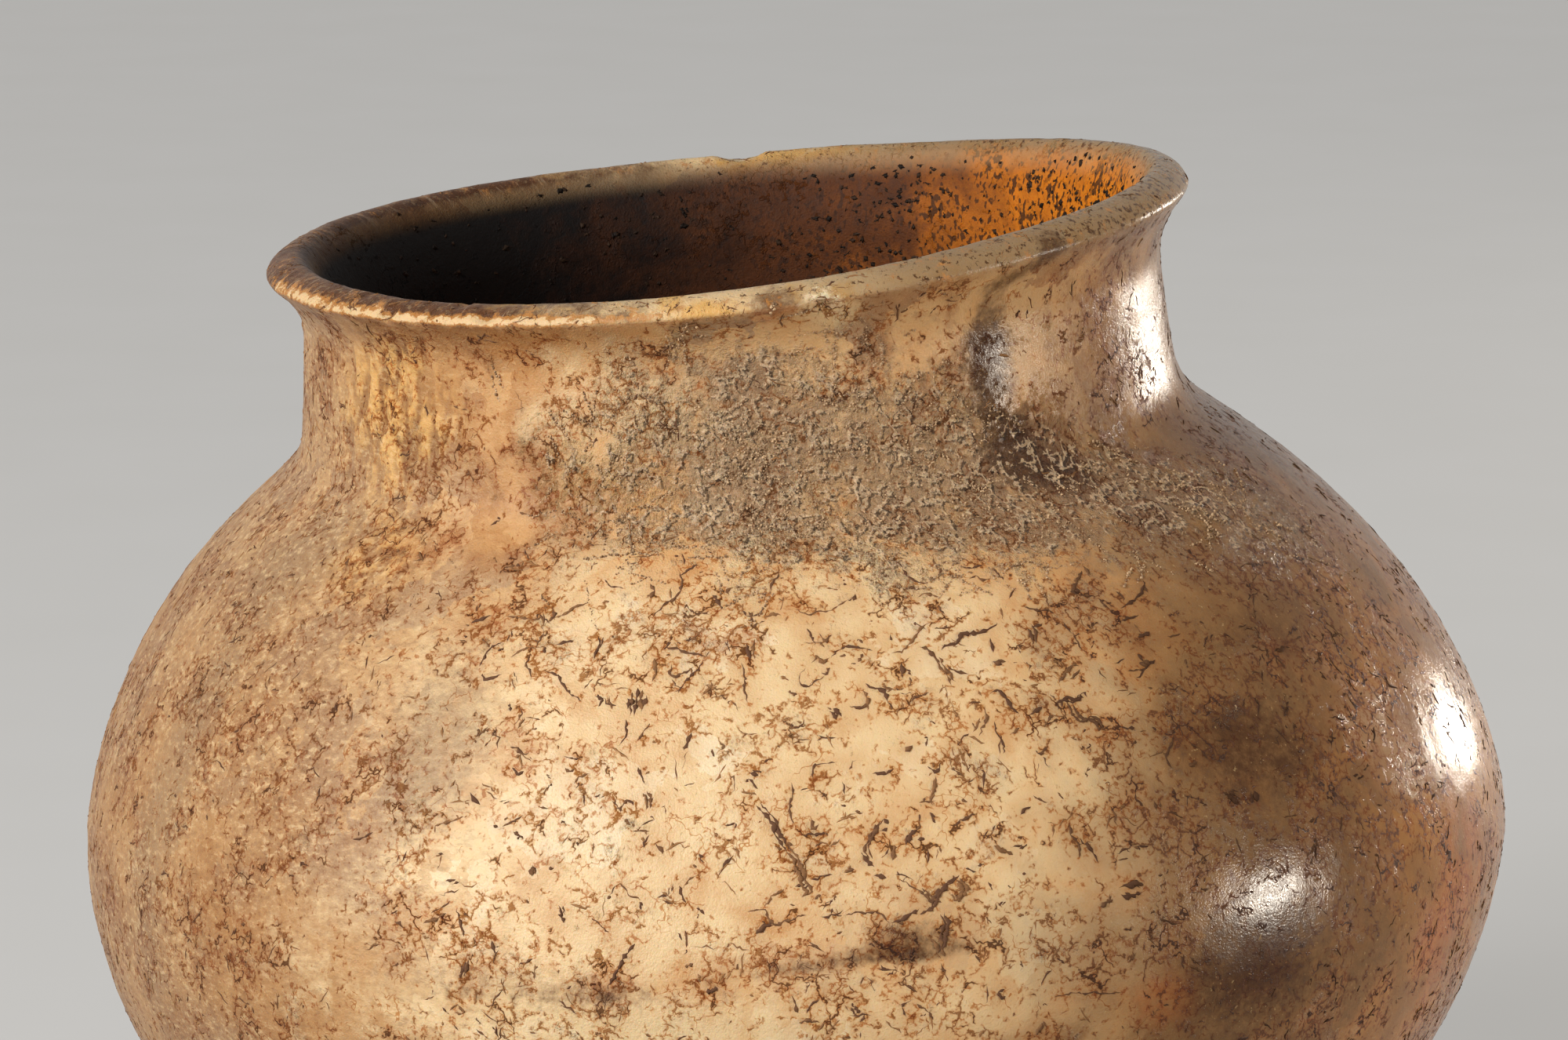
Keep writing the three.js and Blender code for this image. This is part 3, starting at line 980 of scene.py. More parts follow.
    def stain_masks(self, points: np.ndarray) -> dict[str, np.ndarray]:
        """Strength of each kind of stain at each point of the surface.

        Args:
            points: Settled points in millimetres.

        Returns:
            The strengths by the attribute's name.
        """
        masks = {tint.value: np.zeros(len(points)) for tint in Tint}
        for stain in STAINS:
            seat, facing = self.hit(stain.across, stain.down)
            level = np.cross([0.0, 0.0, 1.0], facing)
            level /= np.linalg.norm(level)
            upward = np.cross(facing, level)
            tilt = math.radians(stain.tilt)
            along = level * math.cos(tilt) + upward * math.sin(tilt)
            over = upward * math.cos(tilt) - level * math.sin(tilt)
            away = points - seat
            reach = ((away @ along) / stain.wide) ** 2 + ((away @ over) / stain.high) ** 2
            reach += ((away @ facing) / max(stain.wide, stain.high)) ** 2
            masks[stain.tint.value] += stain.strength * np.exp(-reach * math.log(2))
        return {name: 1 - np.exp(-self.stain_gain * mask) for name, mask in masks.items()}

    def trace_lines(self) -> bpy.types.Object:
        """Lays the marks of the photograph on the jar as thin lines, with their width and tone.

        Returns:
            An object of loose edges.
        """
        points, edges, bulk, tone = [], [], [], []
        for number, trace in enumerate(TRACES):
            broad = trace.width >= self.split_width
            wide = trace.width * (self.split_bulk if broad else self.whole_bulk)
            for shift in (-self.split_gap, self.split_gap) if broad else (0.0,):
                start = len(points)
                points += [self.hit(across + shift, down - shift / 2)[0]
                           for across, down in trace.pixels(self.trace_step)]
                edges += [(index, index + 1) for index in range(start, len(points) - 1)]
                bulk += [wide] * (len(points) - start)
                tone += [number * self.tone_step % self.tone_span] * (len(points) - start)
        mesh = bpy.data.meshes.new("trace_lines")
        mesh.from_pydata((np.array(points) * MM).tolist(), edges, [])
        store(mesh, "bulk", np.array(bulk))
        store(mesh, "tone", np.array(tone))
        store(mesh, "reach", np.full(len(points), MM))
        return new_object("trace_lines", mesh)

    def halo_mask(self, points: np.ndarray) -> np.ndarray:
        """Strength of the soft stain round the marks of the photograph.

        Args:
            points: Settled points in millimetres.

        Returns:
            The strengths.
        """
        seats = [(self.hit(across, down)[0], trace.width)
                 for trace in TRACES for across, down in trace.pixels(3 * self.trace_step)]
        tree = KDTree(len(seats))
        for number, (seat, _) in enumerate(seats):
            tree.insert(seat, number)
        tree.balance()
        mask = np.zeros(len(points))
        for number, point in enumerate(points):
            _, nearest, away = tree.find(point)
            mask[number] = math.exp(-((away / (self.halo_reach + seats[nearest][1])) ** 2))
        return mask

    def hit(self, across: float, down: float) -> tuple[np.ndarray, np.ndarray]:
        """Point of the jar that a pixel of the photograph shows, and the outward direction there."""
        place, normal, _, _ = self.finder.ray_cast(self.photo.eye, self.photo.ray(across, down))
        return np.array(place), np.array(normal)

    def masks(self, points: np.ndarray, past: np.ndarray) -> dict[str, np.ndarray]:
        """Values that the finish and the marks read: where each of them shows on the jar.

        Args:
            points: Settled points in millimetres.
            past: How many rows each point lies past the crest of the lip.

        Returns:
            The values by the attribute's name.
        """
        to_right, to_back, height = points.T
        rise = height - self.form.equator_height
        outside = 1 - part(past, *self.outside_band)
        on_lip = past + self.lip_rows + 1
        # nose: the lip's outer ridge, which the lip's colour lays as a cream line, partly a painted highlight
        nose = np.exp(-(((on_lip - self.nose_row) / self.nose_rows) ** 2))
        masks = {
            "inner": part(past, self.mouth_rows),
            "relief": np.ones(len(points)),
            "marks": outside,
            "specks": part(past, *self.speck_band) * part(rise, *self.speck_rise_band),
            "mottle": part(-to_right, *self.mottle_band) * outside,
            # olive tone and painted shade on the right
            "olive": part(to_right, *self.olive_band) * outside,
            "lip": part(on_lip, *self.lip_band) * (1 - part(past, *self.lip_end_band)),
            "nose": nose * part(-to_right, *self.nose_left_band) * part(-to_back, *self.nose_front_band),
            "halo": self.halo_mask(points) * outside,
        }
        stains = self.stain_masks(points)
        stains[Tint.CREAM.value] += part(to_back, *self.back_band) * self.back_cream
        masks.update((name, mask * outside) for name, mask in stains.items())
        return masks

    def build(self) -> bpy.types.Object:
        """Makes the jar's mesh with its losses and the attributes that its finish reads.

        Returns:
            The object, before its relief.
        """
        section, crest = self.profile()
        turns = np.linspace(0, 2 * math.pi, self.columns, endpoint=False)
        radius = section[1:-1, 0][:, None]
        rise = np.broadcast_to(section[1:-1, 1][:, None], (len(section) - 2, self.columns))
        ring = np.stack([radius * np.cos(turns), radius * np.sin(turns), rise], axis=2).reshape(-1, 3)
        poles = np.array([[0, 0, section[0, 1]], [0, 0, section[-1, 1]]])
        points = self.form.settle(np.concatenate([ring, poles]))
        faces = ring_faces(len(section) - 2, self.columns, True)
        self.finder = BVHTree.FromPolygons(points.tolist(), faces)
        mesh = new_mesh(self.name, points, faces)
        normals = np.zeros(len(points) * 3)
        mesh.vertices.foreach_get("normal", normals)
        points = self.carve_losses(points, normals.reshape(-1, 3))
        mesh.vertices.foreach_set("co", (points * MM).ravel())
        rows = np.concatenate([np.repeat(np.arange(1, len(section) - 1), self.columns), [0, len(section)]])
        for name, mask in self.masks(points, rows - crest).items():
            store(mesh, name, mask)
        return new_object(self.name, mesh)


def bezier(corners: list[Span], steps: int) -> np.ndarray:
    """Points of a smooth curve, without its first.

    Args:
        corners: Its control points.
        steps: Number of steps.

    Returns:
        Rows of two values.
    """
    share = np.linspace(0, 1, steps + 1)[1:, None]
    points = [np.tile(corner, (steps, 1)) for corner in np.array(corners, float)]
    while len(points) > 1:
        points = [here + (there - here) * share for here, there in zip(points, points[1:])]
    return points[0]


def steps_between(low: float, high: float, steps: int) -> np.ndarray:
    """Even steps from low to high, without the lowest."""
    return np.linspace(low, high, steps + 1)[1:]


def ring_faces(rows: int, columns: int, closed: bool) -> list[list[int]]:
    """Faces of a stack of rings, of which the poles come after all rings.

    Args:
        rows: Number of rings.
        columns: Points of each ring.
        closed: Whether a pole closes each end; otherwise the last ring joins the first.

    Returns:
        Corner numbers of each face, turned outwards where the rings rise on the outside.
    """
    faces = []
    last = rows - 1 if closed else rows
    for row in range(last):
        here = row * columns
        there = (row + 1) % rows * columns
        for column in range(columns):
            beside = (column + 1) % columns
            faces.append([here + column, here + beside, there + beside, there + column])
    if closed:
        low, high, top = rows * columns, rows * columns + 1, (rows - 1) * columns
        for column in range(columns):
            beside = (column + 1) % columns
            faces.append([low, beside, column])
            faces.append([high, top + column, top + beside])
    return faces


def new_mesh(name: str, points: np.ndarray, faces: list[list[int]]) -> bpy.types.Mesh:
    """Makes a smooth-shaded mesh from points in millimetres.

    Args:
        name: The mesh's name.
        points: Rows of x, y and z.
        faces: Corner numbers of each face.

    Returns:
        The mesh.
    """
    mesh = bpy.data.meshes.new(name)
    mesh.from_pydata((points * MM).tolist(), [], faces)
    mesh.shade_smooth()
    mesh.update()
    return mesh


def store(mesh: bpy.types.Mesh, name: str, values: np.ndarray) -> None:
    """Keeps one value for each point of a mesh under a name."""
    layer = mesh.attributes.get(name) or mesh.attributes.new(name, "FLOAT", "POINT")
    layer.data.foreach_set("value", np.asarray(values, np.float32))


@dataclass(frozen=True)
class FootForm:
    """Sizes of a foot, its tenon and its mastic bed in millimetres, as in the CAD source."""

    circle_radius: float = 45.0
    sole_radius: float = 6.2
    sole_rounding: float = 2.4
    top_radius: float = 12.5
    swell: float = 1.5
    tenon_radius: float = 5.0
    socket_radius: float = 6.5
    socket_low: float = 10.0
    socket_top: float = 28.0
    clearance: float = 0.3
    bed_thickness: float = 0.9
    bed_setback: float = 0.6
    bead: float = 0.3
    edge: float = 0.3
    rounding_steps: int = 20
    flank_steps: int = 120

    @property
    def tenon_top(self) -> float:
        """Height of the tenon's and the sleeve's upper end."""
        return self.socket_top - self.clearance

    @property
    def bed_drop(self) -> float:
        """How far the bed's lower face stands off from the belly."""
        return self.clearance + self.bed_thickness

    @property
    def side(self) -> np.ndarray:
        """Outline of the foot from the rim of its sole up to the socket's top.

        Returns:
            Rows of radius and height.
        """
        foot_edge = self.sole_radius + self.sole_rounding
        middle = ((foot_edge + self.top_radius) / 2 + self.swell, (self.sole_rounding + self.socket_top) / 2)
        rim = (self.sole_radius, 0)
        low = (foot_edge, self.sole_rounding)
        rounding = bezier([rim, (foot_edge, 0), low], self.rounding_steps)
        flank = bezier([low, middle, (self.top_radius, self.socket_top)], self.flank_steps)
        return np.concatenate([[rim], rounding, flank])


@dataclass(frozen=True)
class Feet:
    """The three stone feet, whose tops follow the belly, and the mastic beds round their tenons."""

    jar: JarForm
    foot: FootForm
    columns: int = 96
    side_rows: int = 30
    top_rows: int = 8
    tenon_rows: int = 5
    darkness: float = 0.4
    relief_rise: float = 5.0
    relief_fade: float = 5.0
    bead_span: Span = (0.15, 0.85)
    names: tuple[str, ...] = ("front", "rear_right", "rear_left")

    def ring(self, number: int, radius: np.ndarray | float, height: np.ndarray | float | None = None,
             stand_off: float = 0.0) -> np.ndarray:
        """One ring of points round a foot's middle.

        Args:
            number: Which foot.
            radius: Its radius, the same for all points or one for each.
            height: Its height; left out, the ring follows the belly.
            stand_off: Distance under the belly that it keeps.

        Returns:
            Rows of x, y and z.
        """
        turn = FIRST_FOOT_TURN + number * math.tau / FOOT_COUNT
        turns = np.linspace(0, math.tau, self.columns, endpoint=False)
        x = self.foot.circle_radius * math.cos(turn) + radius * np.cos(turns)
        y = self.foot.circle_radius * math.sin(turn) + radius * np.sin(turns)
        z = self.jar.belly_height(x, y, stand_off) if height is None else np.broadcast_to(height, x.shape)
        return np.stack([x, y, z], axis=1)

    def foot_piece(self, number: int) -> bpy.types.Object:
        """Makes one foot with its tenon.

        Args:
            number: Which foot.

        Returns:
            The foot, before its relief.
        """
        foot, side = self.foot, self.foot.side
        under = foot.bed_drop + foot.clearance
        roof = np.stack([self.ring(number, radius, None, under)[:, 2] for radius in side[:, 0]])
        steps = np.arange(len(side))
        ends = np.array([np.interp(-foot.edge, gap, steps) for gap in (side[:, 1:] - roof).T])
        rings, relief = [], []
        for share in np.linspace(0, 1, self.side_rows):
            height = np.interp(share * ends, steps, side[:, 1])
            rings.append(self.ring(number, np.interp(share * ends, steps, side[:, 0]), height))
            relief.append(part(height, self.relief_rise) * min(1, (1 - share) * self.relief_fade))
        brim = np.interp(ends, steps, side[:, 0]) - foot.edge
        for share in np.linspace(0, 1, self.top_rows):
            rings.append(self.ring(number, brim + (foot.tenon_radius - brim) * share, None, under))
        low = rings[-1][:, 2]
        rise = foot.tenon_top - foot.edge - low
        for share in steps_between(0, 1, self.tenon_rows):
            rings.append(self.ring(number, foot.tenon_radius, low + rise * share))
        rings.append(self.ring(number, foot.tenon_radius - foot.edge, foot.tenon_top))
        middle = rings[0].mean(axis=0)
        poles = [[middle[0], middle[1], 0.0], [middle[0], middle[1], foot.tenon_top]]
        points = np.concatenate([*rings, poles])
        mesh = new_mesh("foot_stone", points, ring_faces(len(rings), self.columns, True))
        smooth = np.zeros(len(mesh.vertices))
        smooth[: self.side_rows * self.columns] = np.concatenate(relief)
        store(mesh, "relief", smooth)
        store(mesh, "marks", np.ones(len(mesh.vertices)))
        # the feet take some of the right side's olive tone and painted shade, which makes them darker
        store(mesh, "olive", np.full(len(mesh.vertices), self.darkness))
        return new_object("foot_stone", mesh)

    def bed_piece(self, number: int) -> bpy.types.Object:
        """Makes one bed: a collar under the belly with a squeezed-out bead, and a sleeve in the socket.

        Args:
            number: Which foot.

        Returns:
            The bed, before its relief.
        """
        foot = self.foot
        bore = foot.tenon_radius + foot.clearance
        collar = foot.top_radius - foot.bed_setback
        sleeve = foot.socket_radius - foot.clearance
        rings = [self.ring(number, radius, None, foot.bed_drop)
                 for radius in np.linspace(bore, collar - foot.edge, self.top_rows)]
        outer = len(rings) - 1
        for share in np.linspace(*self.bead_span, self.tenon_rows):
            bulge = collar + foot.bead * math.sin(math.pi * share)
            rings.append(self.ring(number, bulge, None, foot.bed_drop - foot.bed_thickness * share))
        for radius in np.linspace(collar - foot.edge, sleeve, self.top_rows):
            rings.append(self.ring(number, radius, None, foot.clearance))
        low = rings[-1][:, 2]
        for share in steps_between(0, 1, self.tenon_rows):
            rings.append(self.ring(number, sleeve, low + (foot.tenon_top - low) * share))
        base = rings[0][:, 2]
        for share in np.linspace(1, 0, self.tenon_rows, endpoint=False):
            rings.append(self.ring(number, bore, base + (foot.tenon_top - base) * share))
        mesh = new_mesh("bed_mastic", np.concatenate(rings), ring_faces(len(rings), self.columns, False))
        rough = np.zeros((len(rings), self.columns))
        rough[outer : outer + self.tenon_rows + 2] = 1.0
        store(mesh, "relief", rough.ravel())
        return new_object("bed_mastic", mesh)


class Socket(Enum):
    """Kinds of input that a shaping tree can have."""

    SHAPE = "NodeSocketGeometry"
    LENGTH = "NodeSocketFloat"
    COUNT = "NodeSocketInt"
    CHOICE = "NodeSocketBool"
    THING = "NodeSocketObject"
    FINISH = "NodeSocketMaterial"


class Draw(Enum):
    """The seed of each random draw."""

    ANGLE = 11
    LENGTH = 23
    BULK = 31
    TONE = 47
    KIND = 53
    CRUMB_SHIFT = 61
    CRUMB_SIZE = 67
    CRUMB_TURN = 71
    CRUMB_TONE = 73


class Shaper:
    """A Geometry Nodes tree with named inputs, which is run once on an object and leaves a plain mesh."""

    def __init__(self, name: str, inputs: dict[str, Socket]) -> None:
        """Makes the tree.

        Args:
            name: Its name.
            inputs: The kind of each named input.
        """
        self.tree = bpy.data.node_groups.new(name, "GeometryNodeTree")
        self.bench = Bench(self.tree)
        face = self.tree.interface
        face.new_socket("Geometry", in_out="OUTPUT", socket_type=Socket.SHAPE.value)
        face.new_socket("Geometry", in_out="INPUT", socket_type=Socket.SHAPE.value)
        for label, kind in inputs.items():
            face.new_socket(label, in_out="INPUT", socket_type=kind.value)
        self.entry = self.bench.node("NodeGroupInput")

    def given(self, label: str) -> Signal:
        """Signal of a named input."""
        return Signal(self.tree, self.entry.outputs[label])

    def named(self, label: str) -> Signal:
        """Signal of a value that the surface carries under a name."""
        return self.bench.geo("InputNamedAttribute", {"Name": label}, data_type="FLOAT")

    def keep(self, shape: Signal, label: str, value: Signal) -> Signal:
        """Stores a value under a name on all points of a shape."""
        return self.bench.geo("StoreNamedAttribute",
                              {"Geometry": shape, "Name": label, "Value": value}, data_type="FLOAT")

    def chance(self, draw: Draw, low: object, high: object, kind: str = "FLOAT") -> Signal:
        """Random value for each point.

        Args:
            draw: Which draw it is.
            low: Its least value.
            high: Its greatest value.
            kind: FLOAT, FLOAT_VECTOR or INT.

        Returns:
            The value.
        """
        tail = {"FLOAT": "_001", "FLOAT_VECTOR": "", "INT": "_002"}[kind]
        number = self.bench.geo("InputIndex")
        ends = {"Min" + tail: low, "Max" + tail: high, "ID": number, "Seed": draw.value}
        return self.bench.out("FunctionNodeRandomValue", ends, "Value" + tail, data_type=kind)

    def close(self, shape: Signal) -> None:
        """Ends the tree: real geometry, smooth, with its finish.

        Args:
            shape: The geometry that the tree has made.
        """
        bench = self.bench
        real = bench.geo("RealizeInstances", {"Geometry": shape})
        smooth = bench.geo("SetShadeSmooth", {"Geometry": real})
        finish = self.given("Finish")
        done = bench.geo("SetMaterial", {"Geometry": smooth, "Material": finish})
        bench.node("NodeGroupOutput", {"Geometry": done})

    def run(self, name: str, source: bpy.types.Object, values: dict[str, object]) -> bpy.types.Object:
        """Runs the tree on an object's mesh.

        Args:
            name: Name of the new piece.
            source: The object whose mesh the tree starts from.
            values: Values of the named inputs.

        Returns:
            The new piece, as a plain mesh.
        """
        worker = new_object(name + "_work", source.data)
        modifier = worker.modifiers.new("shape", "NODES")
        modifier.node_group = self.tree
        for item in self.tree.interface.items_tree:
            if item.in_out == "INPUT" and item.name in values:
                modifier[item.identifier] = values[item.name]
        graph = bpy.context.evaluated_depsgraph_get()
        mesh = bpy.data.meshes.new_from_object(worker.evaluated_get(graph), depsgraph=graph)
        bpy.data.objects.remove(worker)
        mesh.name = name
        return new_object(name, mesh)


@dataclass(frozen=True)
class Relief:
    """Unevenness of the cut stone in millimetres: how deep each kind is, and how far apart it repeats."""

    swell_depth: float = 0.9
    swell_size: float = 32.0
    grain_depth: float = 0.35
    grain_size: float = 4.0
    nodule_depth: float = 0.8
    drill_sides: int = 64

    def inputs(self) -> dict[str, float]:
        """Gives the relief tree's inputs.

        Returns:
            Values by the input's name.
        """
        return {
            "Swell Depth": self.swell_depth * MM,
            "Swell Rate": 1 / (self.swell_size * MM),
            "Grain Depth": self.grain_depth * MM,
            "Grain Rate": 1 / (self.grain_size * MM),
            "Nodule Depth": self.nodule_depth * MM,
            "Nodule Rate": 1 / (NODULE_SIZE * MM),
            "Drill Sides": self.drill_sides,
        }


def relief_shaper() -> Shaper:
    """Tree that makes the smooth jar uneven with slow swells, fine grain and nodules, and drills its sockets.

    Returns:
        The tree.
    """
    lengths = ("Swell Depth", "Swell Rate", "Grain Depth", "Grain Rate", "Nodule Depth", "Nodule Rate",
               "Foot Circle", "Socket Radius", "Socket Low", "Socket Top")
    shaper = Shaper("stone_relief", {
        **dict.fromkeys(lengths, Socket.LENGTH),
        "Drill Sides": Socket.COUNT,
        "Drilled": Socket.CHOICE,
        "Finish": Socket.FINISH,
    })
    bench, given = shaper.bench, shaper.given
    place = bench.geo("InputPosition")
    swell = (bench.noise(place, given("Swell Rate"), 1.0) - 0.5) * given("Swell Depth")
    grain = (bench.noise(place, given("Grain Rate"), 3.0, 0.6) - 0.5) * given("Grain Depth")
    upright = bench.vector("MULTIPLY", place, NODULE_SQUASH)
    nodules = bench.noise(upright, given("Nodule Rate"), 2.0, 0.6).smooth(0.4, 0.7)
    nodules = nodules * given("Nodule Depth") * shaper.named("honey")
    height = (swell + grain) * shaper.named("relief") + nodules
    offset = bench.vector("SCALE", bench.geo("InputNormal"), height)
    shape = bench.geo("SetPosition", {"Geometry": given("Geometry"), "Offset": offset})

    drill = bench.geo("MeshCylinder", {
        "Vertices": given("Drill Sides"),
        "Radius": given("Socket Radius"),
        "Depth": given("Socket Top") - given("Socket Low"),
    })
    finish = given("Finish")
    shape = bench.geo("SetMaterial", {"Geometry": shape, "Material": finish})
    drill = bench.geo("SetMaterial", {"Geometry": drill, "Material": finish})
    middle = bench.out("ShaderNodeCombineXYZ", {"Z": (given("Socket Top") + given("Socket Low")) * 0.5})
    seats = bench.geo("CurvePrimitiveCircle", {
        "Resolution": FOOT_COUNT, "Radius": given("Foot Circle"),
    })
    seats = bench.geo("Transform", {
        "Geometry": seats, "Translation": middle, "Rotation": (0.0, 0.0, FIRST_FOOT_TURN),
    })
    drills = bench.geo("InstanceOnPoints", {"Points": seats, "Instance": drill})
    drills = bench.geo("RealizeInstances", {"Geometry": drills})
    drilled = bench.geo("MeshBoolean", {"Mesh 1": shape, "Mesh 2": [drills]},
                        operation="DIFFERENCE", solver="MANIFOLD")
    shaper.close(bench.geo("Switch", {
        "Switch": given("Drilled"), "False": shape, "True": drilled,
    }, input_type="GEOMETRY"))
    return shaper


# Ridges: how blunt their ends are, lumps per metre and their least and greatest share of the width,
# and the thinnest end in metres
RIDGE_BLUNTNESS = 0.6
RIDGE_LUMP_RATE = 2200.0
RIDGE_LUMPS = (0.2, 1.8)
RIDGE_LEAST = 0.00001
# Crumbs: their spacing and size as shares of the line's width
CRUMB_SPACING = 0.8
CRUMB_SIZES = (0.5, 1.4)
# Strokes: their least and greatest share of the width, and the least density between clusters
STROKE_BULKS = (0.55, 1.25)
SPARSE_SHARE = 0.2

# Lines of each kind of root mark, from start to end, in shares of the mark's length
Way = tuple[Span, Span]
MOTIFS: tuple[tuple[Way, ...], ...] = (
    (((-0.5, 0.0), (0.5, 0.0)),),
    (((-0.5, 0.05), (0.5, -0.05)),),
    (((-0.5, 0.0), (0.5, 0.0)), ((0.1, 0.0), (0.38, 0.2))),
    (((-0.5, 0.0), (0.3, 0.0)), ((0.3, 0.0), (0.18, 0.3))),
    (((-0.5, 0.1), (0.2, 0.1)), ((-0.1, -0.14), (0.5, -0.1))),
    (((-0.5, 0.0), (0.5, 0.0)), ((-0.2, 0.0), (0.0, 0.26)), ((0.15, 0.0), (0.4, -0.2))),
)


def motif(bench: Bench, steps: Signal, ways: tuple[Way, ...]) -> Signal:
    """Makes one kind of mark in the plane.

    Args:
        bench: The tree's bench.
        steps: Points of each line.
        ways: Its lines.

    Returns:
        The mark as an instance.
    """
    lines = [bench.geo("CurvePrimitiveLine", {"Start": (*start, 0.0), "End": (*end, 0.0)})
             for start, end in ways]
    joined = bench.geo("JoinGeometry", {"Geometry": lines})
    even = bench.geo("ResampleCurve", {"Curve": joined, "Count": steps})
    return bench.geo("GeometryToInstance", {"Geometry": [even]})


def lay_lines(shaper: Shaper, strokes: Signal, surface: Signal) -> Signal:
    """Bends lines and lays them on a surface.

    Args:
        shaper: The tree.
        strokes: The lines.
        surface: The surface that they lie on.

    Returns:
        The lines.
    """
    bench, given = shaper.bench, shaper.given
    place = bench.geo("InputPosition")
    bend = bench.noise_vector(place, given("Crook Rate"), 3.0, 0.75)
    bend = bench.vector("SCALE", bend, given("Crook") * shaper.named("reach"))
    strokes = bench.geo("SetPosition", {"Geometry": strokes, "Offset": bend})
    near = bench.geo("Proximity", {"Geometry": surface}, "Position", target_element="FACES")
    return bench.geo("SetPosition", {"Geometry": strokes, "Position": near})


def raise_ridges(shaper: Shaper, strokes: Signal, surface: Signal) -> Signal:
    """Thickens lines on a surface to rough ridges.

    Args:
        shaper: The tree.
        strokes: The lines.
        surface: The surface that they lie on.

    Returns:
        The ridges.
    """
    bench, given = shaper.bench, shaper.given
    place = bench.geo("InputPosition")
    normal = bench.geo("InputNormal")
    facing = bench.geo("SampleNearestSurface", {"Mesh": surface, "Value": normal},
                       data_type="FLOAT_VECTOR")
    strokes = bench.geo("SetCurveNormal", {"Curve": strokes, "Normal": facing}, mode="FREE")
    share = bench.geo("SplineParameter")
    belly = (share * math.pi).math("SINE").math("MAXIMUM", 0.0).math("POWER", RIDGE_BLUNTNESS)
    rough = bench.noise(place, RIDGE_LUMP_RATE, 1.0).smooth(0.3, 0.7, *RIDGE_LUMPS)
    radius = belly * rough * shaper.named("bulk") * given("Width") + RIDGE_LEAST
    strokes = bench.geo("SetCurveRadius", {"Curve": strokes, "Radius": radius})
    circle = bench.geo("CurvePrimitiveCircle", {"Resolution": given("Sides"), "Radius": 0.5})
    flat = bench.out("ShaderNodeCombineXYZ", {"X": given("Height"), "Y": 1.0, "Z": 1.0})
    outline = bench.geo("Transform", {"Geometry": circle, "Scale": flat})
    return bench.geo("CurveToMesh",
                     {"Curve": strokes, "Profile Curve": outline, "Scale": radius, "Fill Caps": True})


def crumble(shaper: Shaper, strokes: Signal) -> Signal:
    """Breaks lines up into strings of small crumbs.

    Args:
        shaper: The tree.
        strokes: The lines.

    Returns:
        The crumbs.
    """
    bench, width = shaper.bench, shaper.given("Width")

    def drawn(draw: Draw, low: float, high: float) -> Signal:
        """Random vector for each crumb."""
        return shaper.chance(draw, (low, low, low), (high, high, high), "FLOAT_VECTOR")

    seats = bench.geo("CurveToPoints",
                      {"Curve": strokes, "Length": width * CRUMB_SPACING}, mode="LENGTH")
    shift = bench.vector("SCALE", drawn(Draw.CRUMB_SHIFT, -0.5, 0.5), width)
    seats = bench.geo("SetPosition", {"Geometry": seats, "Offset": shift})
    size = bench.vector("SCALE", drawn(Draw.CRUMB_SIZE, *CRUMB_SIZES), width * shaper.named("bulk"))
    turn = bench.out("FunctionNodeEulerToRotation", {"Euler": drawn(Draw.CRUMB_TURN, 0.0, math.tau)})
    tone = bench.out("ShaderNodeSeparateXYZ", {"Vector": drawn(Draw.CRUMB_TONE, 0.0, 1.0)})
    seats = shaper.keep(seats, "tone", tone)
    lump = bench.geo("MeshIcoSphere", {"Radius": 0.5, "Subdivisions": 1})
    return bench.geo("InstanceOnPoints",
                     {"Points": seats, "Instance": lump, "Rotation": turn, "Scale": size})


def trace_shaper() -> Shaper:
    """Tree that raises the lines of another object to rough ridges on a surface.

    Returns:
        The tree.
    """
    shaper = Shaper("stone_traces", {
        **dict.fromkeys(("Width", "Height", "Crook", "Crook Rate"), Socket.LENGTH),
        "Lines": Socket.THING,
        "Sides": Socket.COUNT,
        "Finish": Socket.FINISH,
    })
    bench, given = shaper.bench, shaper.given
    lines = bench.geo("ObjectInfo", {"Object": given("Lines")}, "Geometry")
    curves = bench.geo("MeshToCurve", {"Mesh": lines})
    surface = given("Geometry")
    shaper.close(raise_ridges(shaper, lay_lines(shaper, curves, surface), surface))
    return shaper


